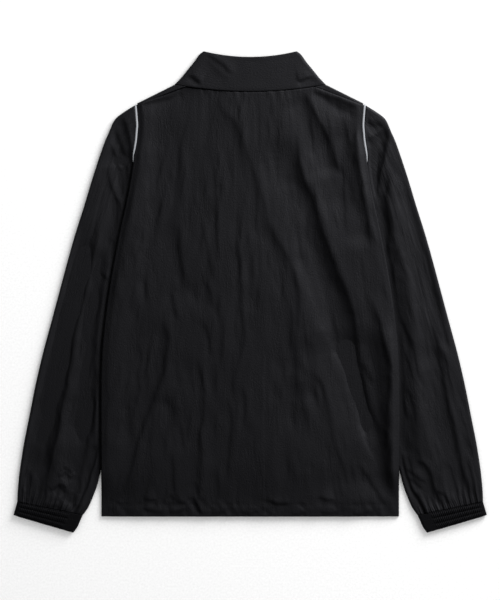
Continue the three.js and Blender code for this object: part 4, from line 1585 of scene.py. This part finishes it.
@dataclass
class Zip:
    """The closed zip in the front: two tapes and a moulded chain, with its slider at the top."""

    lay: Lay = LAY
    chain: float = 3.0
    tape: float = 14.0
    level: float = 2.4
    thick: float = 0.8
    bottom: float = -363.0
    top: float = 322.0
    pitch: float = 2.6

    def build(self) -> list[bpy.types.Object]:
        """Make the tape and the teeth in place of the solid, and dress the slider.

        Returns:
            The pieces.
        """
        y = np.linspace(self.bottom, self.top, 120)
        x = np.linspace(self.tape, -self.tape, 15)
        flat_x, flat_y = np.meshgrid(x, y)
        z = self.level + self.thick + self.lay.lift(flat_x, flat_y)
        grid = np.stack([flat_x, flat_y, z], axis=-1)[:, ::-1]
        tape = cloth_wall("zip_tape", grid, self.thick, grid[..., :2].copy())
        dress(tape, TAPE)
        teeth = self.teeth()
        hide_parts("front_zip")
        slider = bpy.data.objects["zip_slider"]
        slider.data.materials.clear()
        slider.data.materials.append(ENAMEL.material())
        return [tape, teeth]

    def teeth(self) -> bpy.types.Object:
        """Two rows of teeth that mesh at the middle.

        Returns:
            The piece.
        """
        points, faces = [], []
        block = np.array([[x, y, z] for z in (0, 1) for y in (0, 1) for x in (0, 1)], float)
        box = np.array([[0, 2, 3, 1], [4, 5, 7, 6], [0, 1, 5, 4], [2, 6, 7, 3], [0, 4, 6, 2], [1, 3, 7, 5]])
        places = np.arange(self.bottom + 1, self.top - 2, self.pitch)
        for k, y in enumerate(places):
            for side in (-1, 1):
                at_y = y + (self.pitch / 2 if side > 0 else 0.0)
                size = np.array([self.chain + 0.5, self.pitch * 0.46, self.level - 0.25])
                low_x = -0.5 if side > 0 else -self.chain
                lift = float(self.lay.lift(np.array(0.0), np.array(at_y)))
                points.append(block * size + np.array([low_x, at_y, 0.15 + lift]))
                faces.append(box + 8 * (2 * k + (side > 0)))
        piece = mesh_object("zip_teeth", np.vstack(points), np.vstack(faces).tolist(), smooth=False)
        dress(piece, TEETH)
        return piece


@dataclass(frozen=True)
class Studio:
    """Pale surface, a soft light from the upper right and a camera straight above."""

    distance: float = 3.2
    frame_height: float = 0.972
    middle: tuple[float, float] = (-0.0003, -0.013)
    key_power: float = 112.0
    key_size: float = 1.9
    key_place: tuple[float, float, float] = (1.80, 1.95, 1.30)
    dome: float = 0.815

    def build(self) -> None:
        """Make the surface, the lights and the camera."""
        scene = bpy.context.scene
        bpy.ops.mesh.primitive_plane_add(size=8.0, location=(0.0, 0.0, -0.0004))
        surface = bpy.context.object
        surface.name = "surface"
        surface.data.materials.append(PAPER.material())
        world = bpy.data.worlds.new("studio")
        world.use_nodes = True
        world.node_tree.nodes["Background"].inputs["Color"].default_value = (1.0, 1.0, 1.0, 1.0)
        world.node_tree.nodes["Background"].inputs["Strength"].default_value = self.dome
        scene.world = world
        world.cycles_visibility.glossy = False
        lamp = bpy.data.lights.new("key", "AREA")
        lamp.shape, lamp.size, lamp.energy = "DISK", self.key_size, self.key_power
        key = bpy.data.objects.new("key", lamp)
        key.location = self.key_place
        key.rotation_euler = (-key.location).to_track_quat("-Z", "Y").to_euler()
        scene.collection.objects.link(key)
        lens = bpy.data.cameras.new("above")
        lens.sensor_fit, lens.sensor_height = "VERTICAL", 36.0
        lens.lens = 36.0 * self.distance / self.frame_height
        lens.clip_end = 50.0
        camera = bpy.data.objects.new("above", lens)
        camera.location = (*self.middle, self.distance + 0.008)
        scene.collection.objects.link(camera)
        scene.camera = camera
        scene.view_settings.view_transform = "Standard"


RIGHT_SLEEVE_CREASES = (
    fold(4, 4, 0.5, (366, 107), (377, 114), (388, 123), fade=0.15),
    fold(4, 4, 0.4, (367, 113), (375, 119), (384, 128), fade=0.2),
    fold(4, 4, 0.3, (366, 120), (373, 125), (380, 131), fade=0.2),
    fold(10, 5, 0.5, (360, 145), (367, 140.5), (377, 134), (386, 127), (395, 120), crest=1.6, fade=0.1),
    fold(13, 4, 0.75, (390.5, 120), (389, 132), (386, 146), (382.5, 160), (379, 177), (376, 194),
         (373, 212), fade=0.1),
    fold(12, 8, 0.5, (391, 172), (387, 196), (388, 214), (389.5, 232), (387, 248), (384, 262), fade=0.2),
    fold(9, 7, 0.34, (399, 248), (393, 268), (394, 286)),
    fold(20, 20, 0.0, (384, 180), (394, 230), (400, 270), (407, 310), (412, 350), (415, 390), (420, 430),
         (429, 470), (436, 500), crest=2.6, fade=0.12),
    fold(12, 6, 0.34, (404, 176), (412, 196), (423, 236), (431, 268), (439, 300), (446, 333), (454, 366)),
    fold(10, 6, 0.52, (434, 334), (440, 362), (444, 386), (449, 410), (455, 436), (460, 458), (466, 480),
         (473, 501), fade=0.12),
    fold(5, 4, 0.4, (448, 460), (455, 483), (461, 501)),
    fold(4, 4, 0.3, (467, 452), (473, 480), (476, 500)),
    fold(8, 8, -0.16, (414, 368), (424, 402), (431, 432), (436, 462)),
    fold(4, 4, 0.36, (401, 318), (408, 335), (412, 352)),
    fold(4, 4, 0.32, (403, 350), (410, 368), (413, 384)),
    fold(4, 4, 0.36, (406, 384), (414, 408), (417, 430)),
    fold(4, 4, 0.3, (408, 330), (416, 360), (420, 384)),
    fold(4, 4, 0.3, (400, 380), (405, 404), (408, 424)),
    fold(8, 4, 0.6, (414, 459), (424, 464), (430, 473), (433, 487), (439, 501), (443, 507), fade=0.15),
    fold(4, 4, 0.4, (404, 468), (412, 473), (420, 479), (427, 485)),
    fold(4, 4, 0.36, (408, 478), (416, 482), (423, 490)),
    fold(4, 4, 0.45, (435, 491), (443, 495), (448, 501), (452, 506)),
    fold(4, 4, 1.0, (400, 450), (403, 464), (407, 477), (412, 489), (418, 499), (424, 509), (429, 516),
         fade=0.1),
)
LEFT_SLEEVE_CREASES = (
    fold(12, 4, 0.6, (119, 112), (125, 124), (129, 138), (133, 150), (135, 166), fade=0.1),
    fold(7, 5, 0.5, (111, 116), (117, 134), (122, 147), (126, 160), (128, 176), (127, 196), fade=0.25),
    fold(5, 4, 0.4, (106, 134), (112, 148), (117, 162), (121, 176), (122, 194), (120, 210), fade=0.3),
    fold(6, 5, 0.4, (105, 158), (108, 174), (112, 190), (116, 204), (118, 220), (117, 240), fade=0.35),
    fold(4, 4, 0.36, (114, 196), (119, 205), (123, 215)),
    fold(4, 4, 0.36, (113, 236), (115, 250), (113, 264)),
    fold(4, 4, 0.36, (100, 272), (105, 277), (111, 281)),
    fold(20, 5, 0.7, (100, 218), (97.5, 234), (94, 250), (88, 277), (83.5, 298), (78, 320), (72.5, 348),
         (67, 380), (62, 404), (56, 435), (50.5, 462), (46, 484), (42, 504), fade=0.16),
    fold(11, 6, 0.44, (97, 396), (92, 423), (88, 440), (84.5, 456), (81.5, 474), (77, 496), (71, 512),
         fade=0.1),
    fold(22, 14, 0.34, (107, 240), (102, 290), (97, 330), (94, 370), (94, 410), (93, 450), fade=0.12),
    fold(4, 4, 1.0, (100, 445), (95, 460), (90.5, 474), (87, 487), (83, 497), (78, 507), (73, 515),
         fade=0.1),
    fold(4, 4, 0.45, (60, 478), (63, 475), (66, 473), (70, 477), (73, 476), (76, 474), fade=0.12),
    fold(4, 4, 0.5, (51, 491), (55, 488), (59, 485), (63, 486), (67, 489), fade=0.12),
    fold(4, 4, 0.4, (58, 484), (62, 489), (65, 493), fade=0.15),
    fold(4, 4, 0.4, (63, 468), (68, 469), (72, 473), fade=0.15),
    fold(4, 4, 0.45, (57, 496), (61, 505), (64, 513), fade=0.15),
    fold(4, 4, 0.45, (44, 503), (50, 507), (56, 506), (62, 510), fade=0.15),
    fold(4, 4, 0.4, (67, 487), (66, 500), (63, 510)),
    fold(4, 4, 0.45, (75, 492), (72, 506)),
    fold(5, 4, 0.5, (32, 470), (30.5, 488), (28.5, 503)),
    fold(4, 4, 0.4, (23, 488), (24, 502)),
    fold(6, 5, -0.25, (38, 505), (44, 497), (48, 490)),
)


def main() -> None:
    """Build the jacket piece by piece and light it."""
    logging.basicConfig(level=logging.INFO, format="%(message)s")
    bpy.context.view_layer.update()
    back = BackPanel()
    builders = [
        back.build, HemStitching(back).build, Collar().build,
        Sleeve(Side.LEFT, LEFT_SLEEVE_CREASES, clear=12.0).build,
        Sleeve(Side.RIGHT, RIGHT_SLEEVE_CREASES, clear=1.0, rise=34.0).build,
        *(FrontPanel(side).build for side in Side),
        *(Cuff(side).build for side in Side),
        *(Piping(side).build for side in Side),
        Zip().build,
    ]
    for build in builders:
        made = build()
        for piece in made if isinstance(made, list) else [made]:
            log.info("%s: %d faces", piece.name, len(piece.data.polygons))
    Studio().build()


if __name__ == "__main__":
    main()
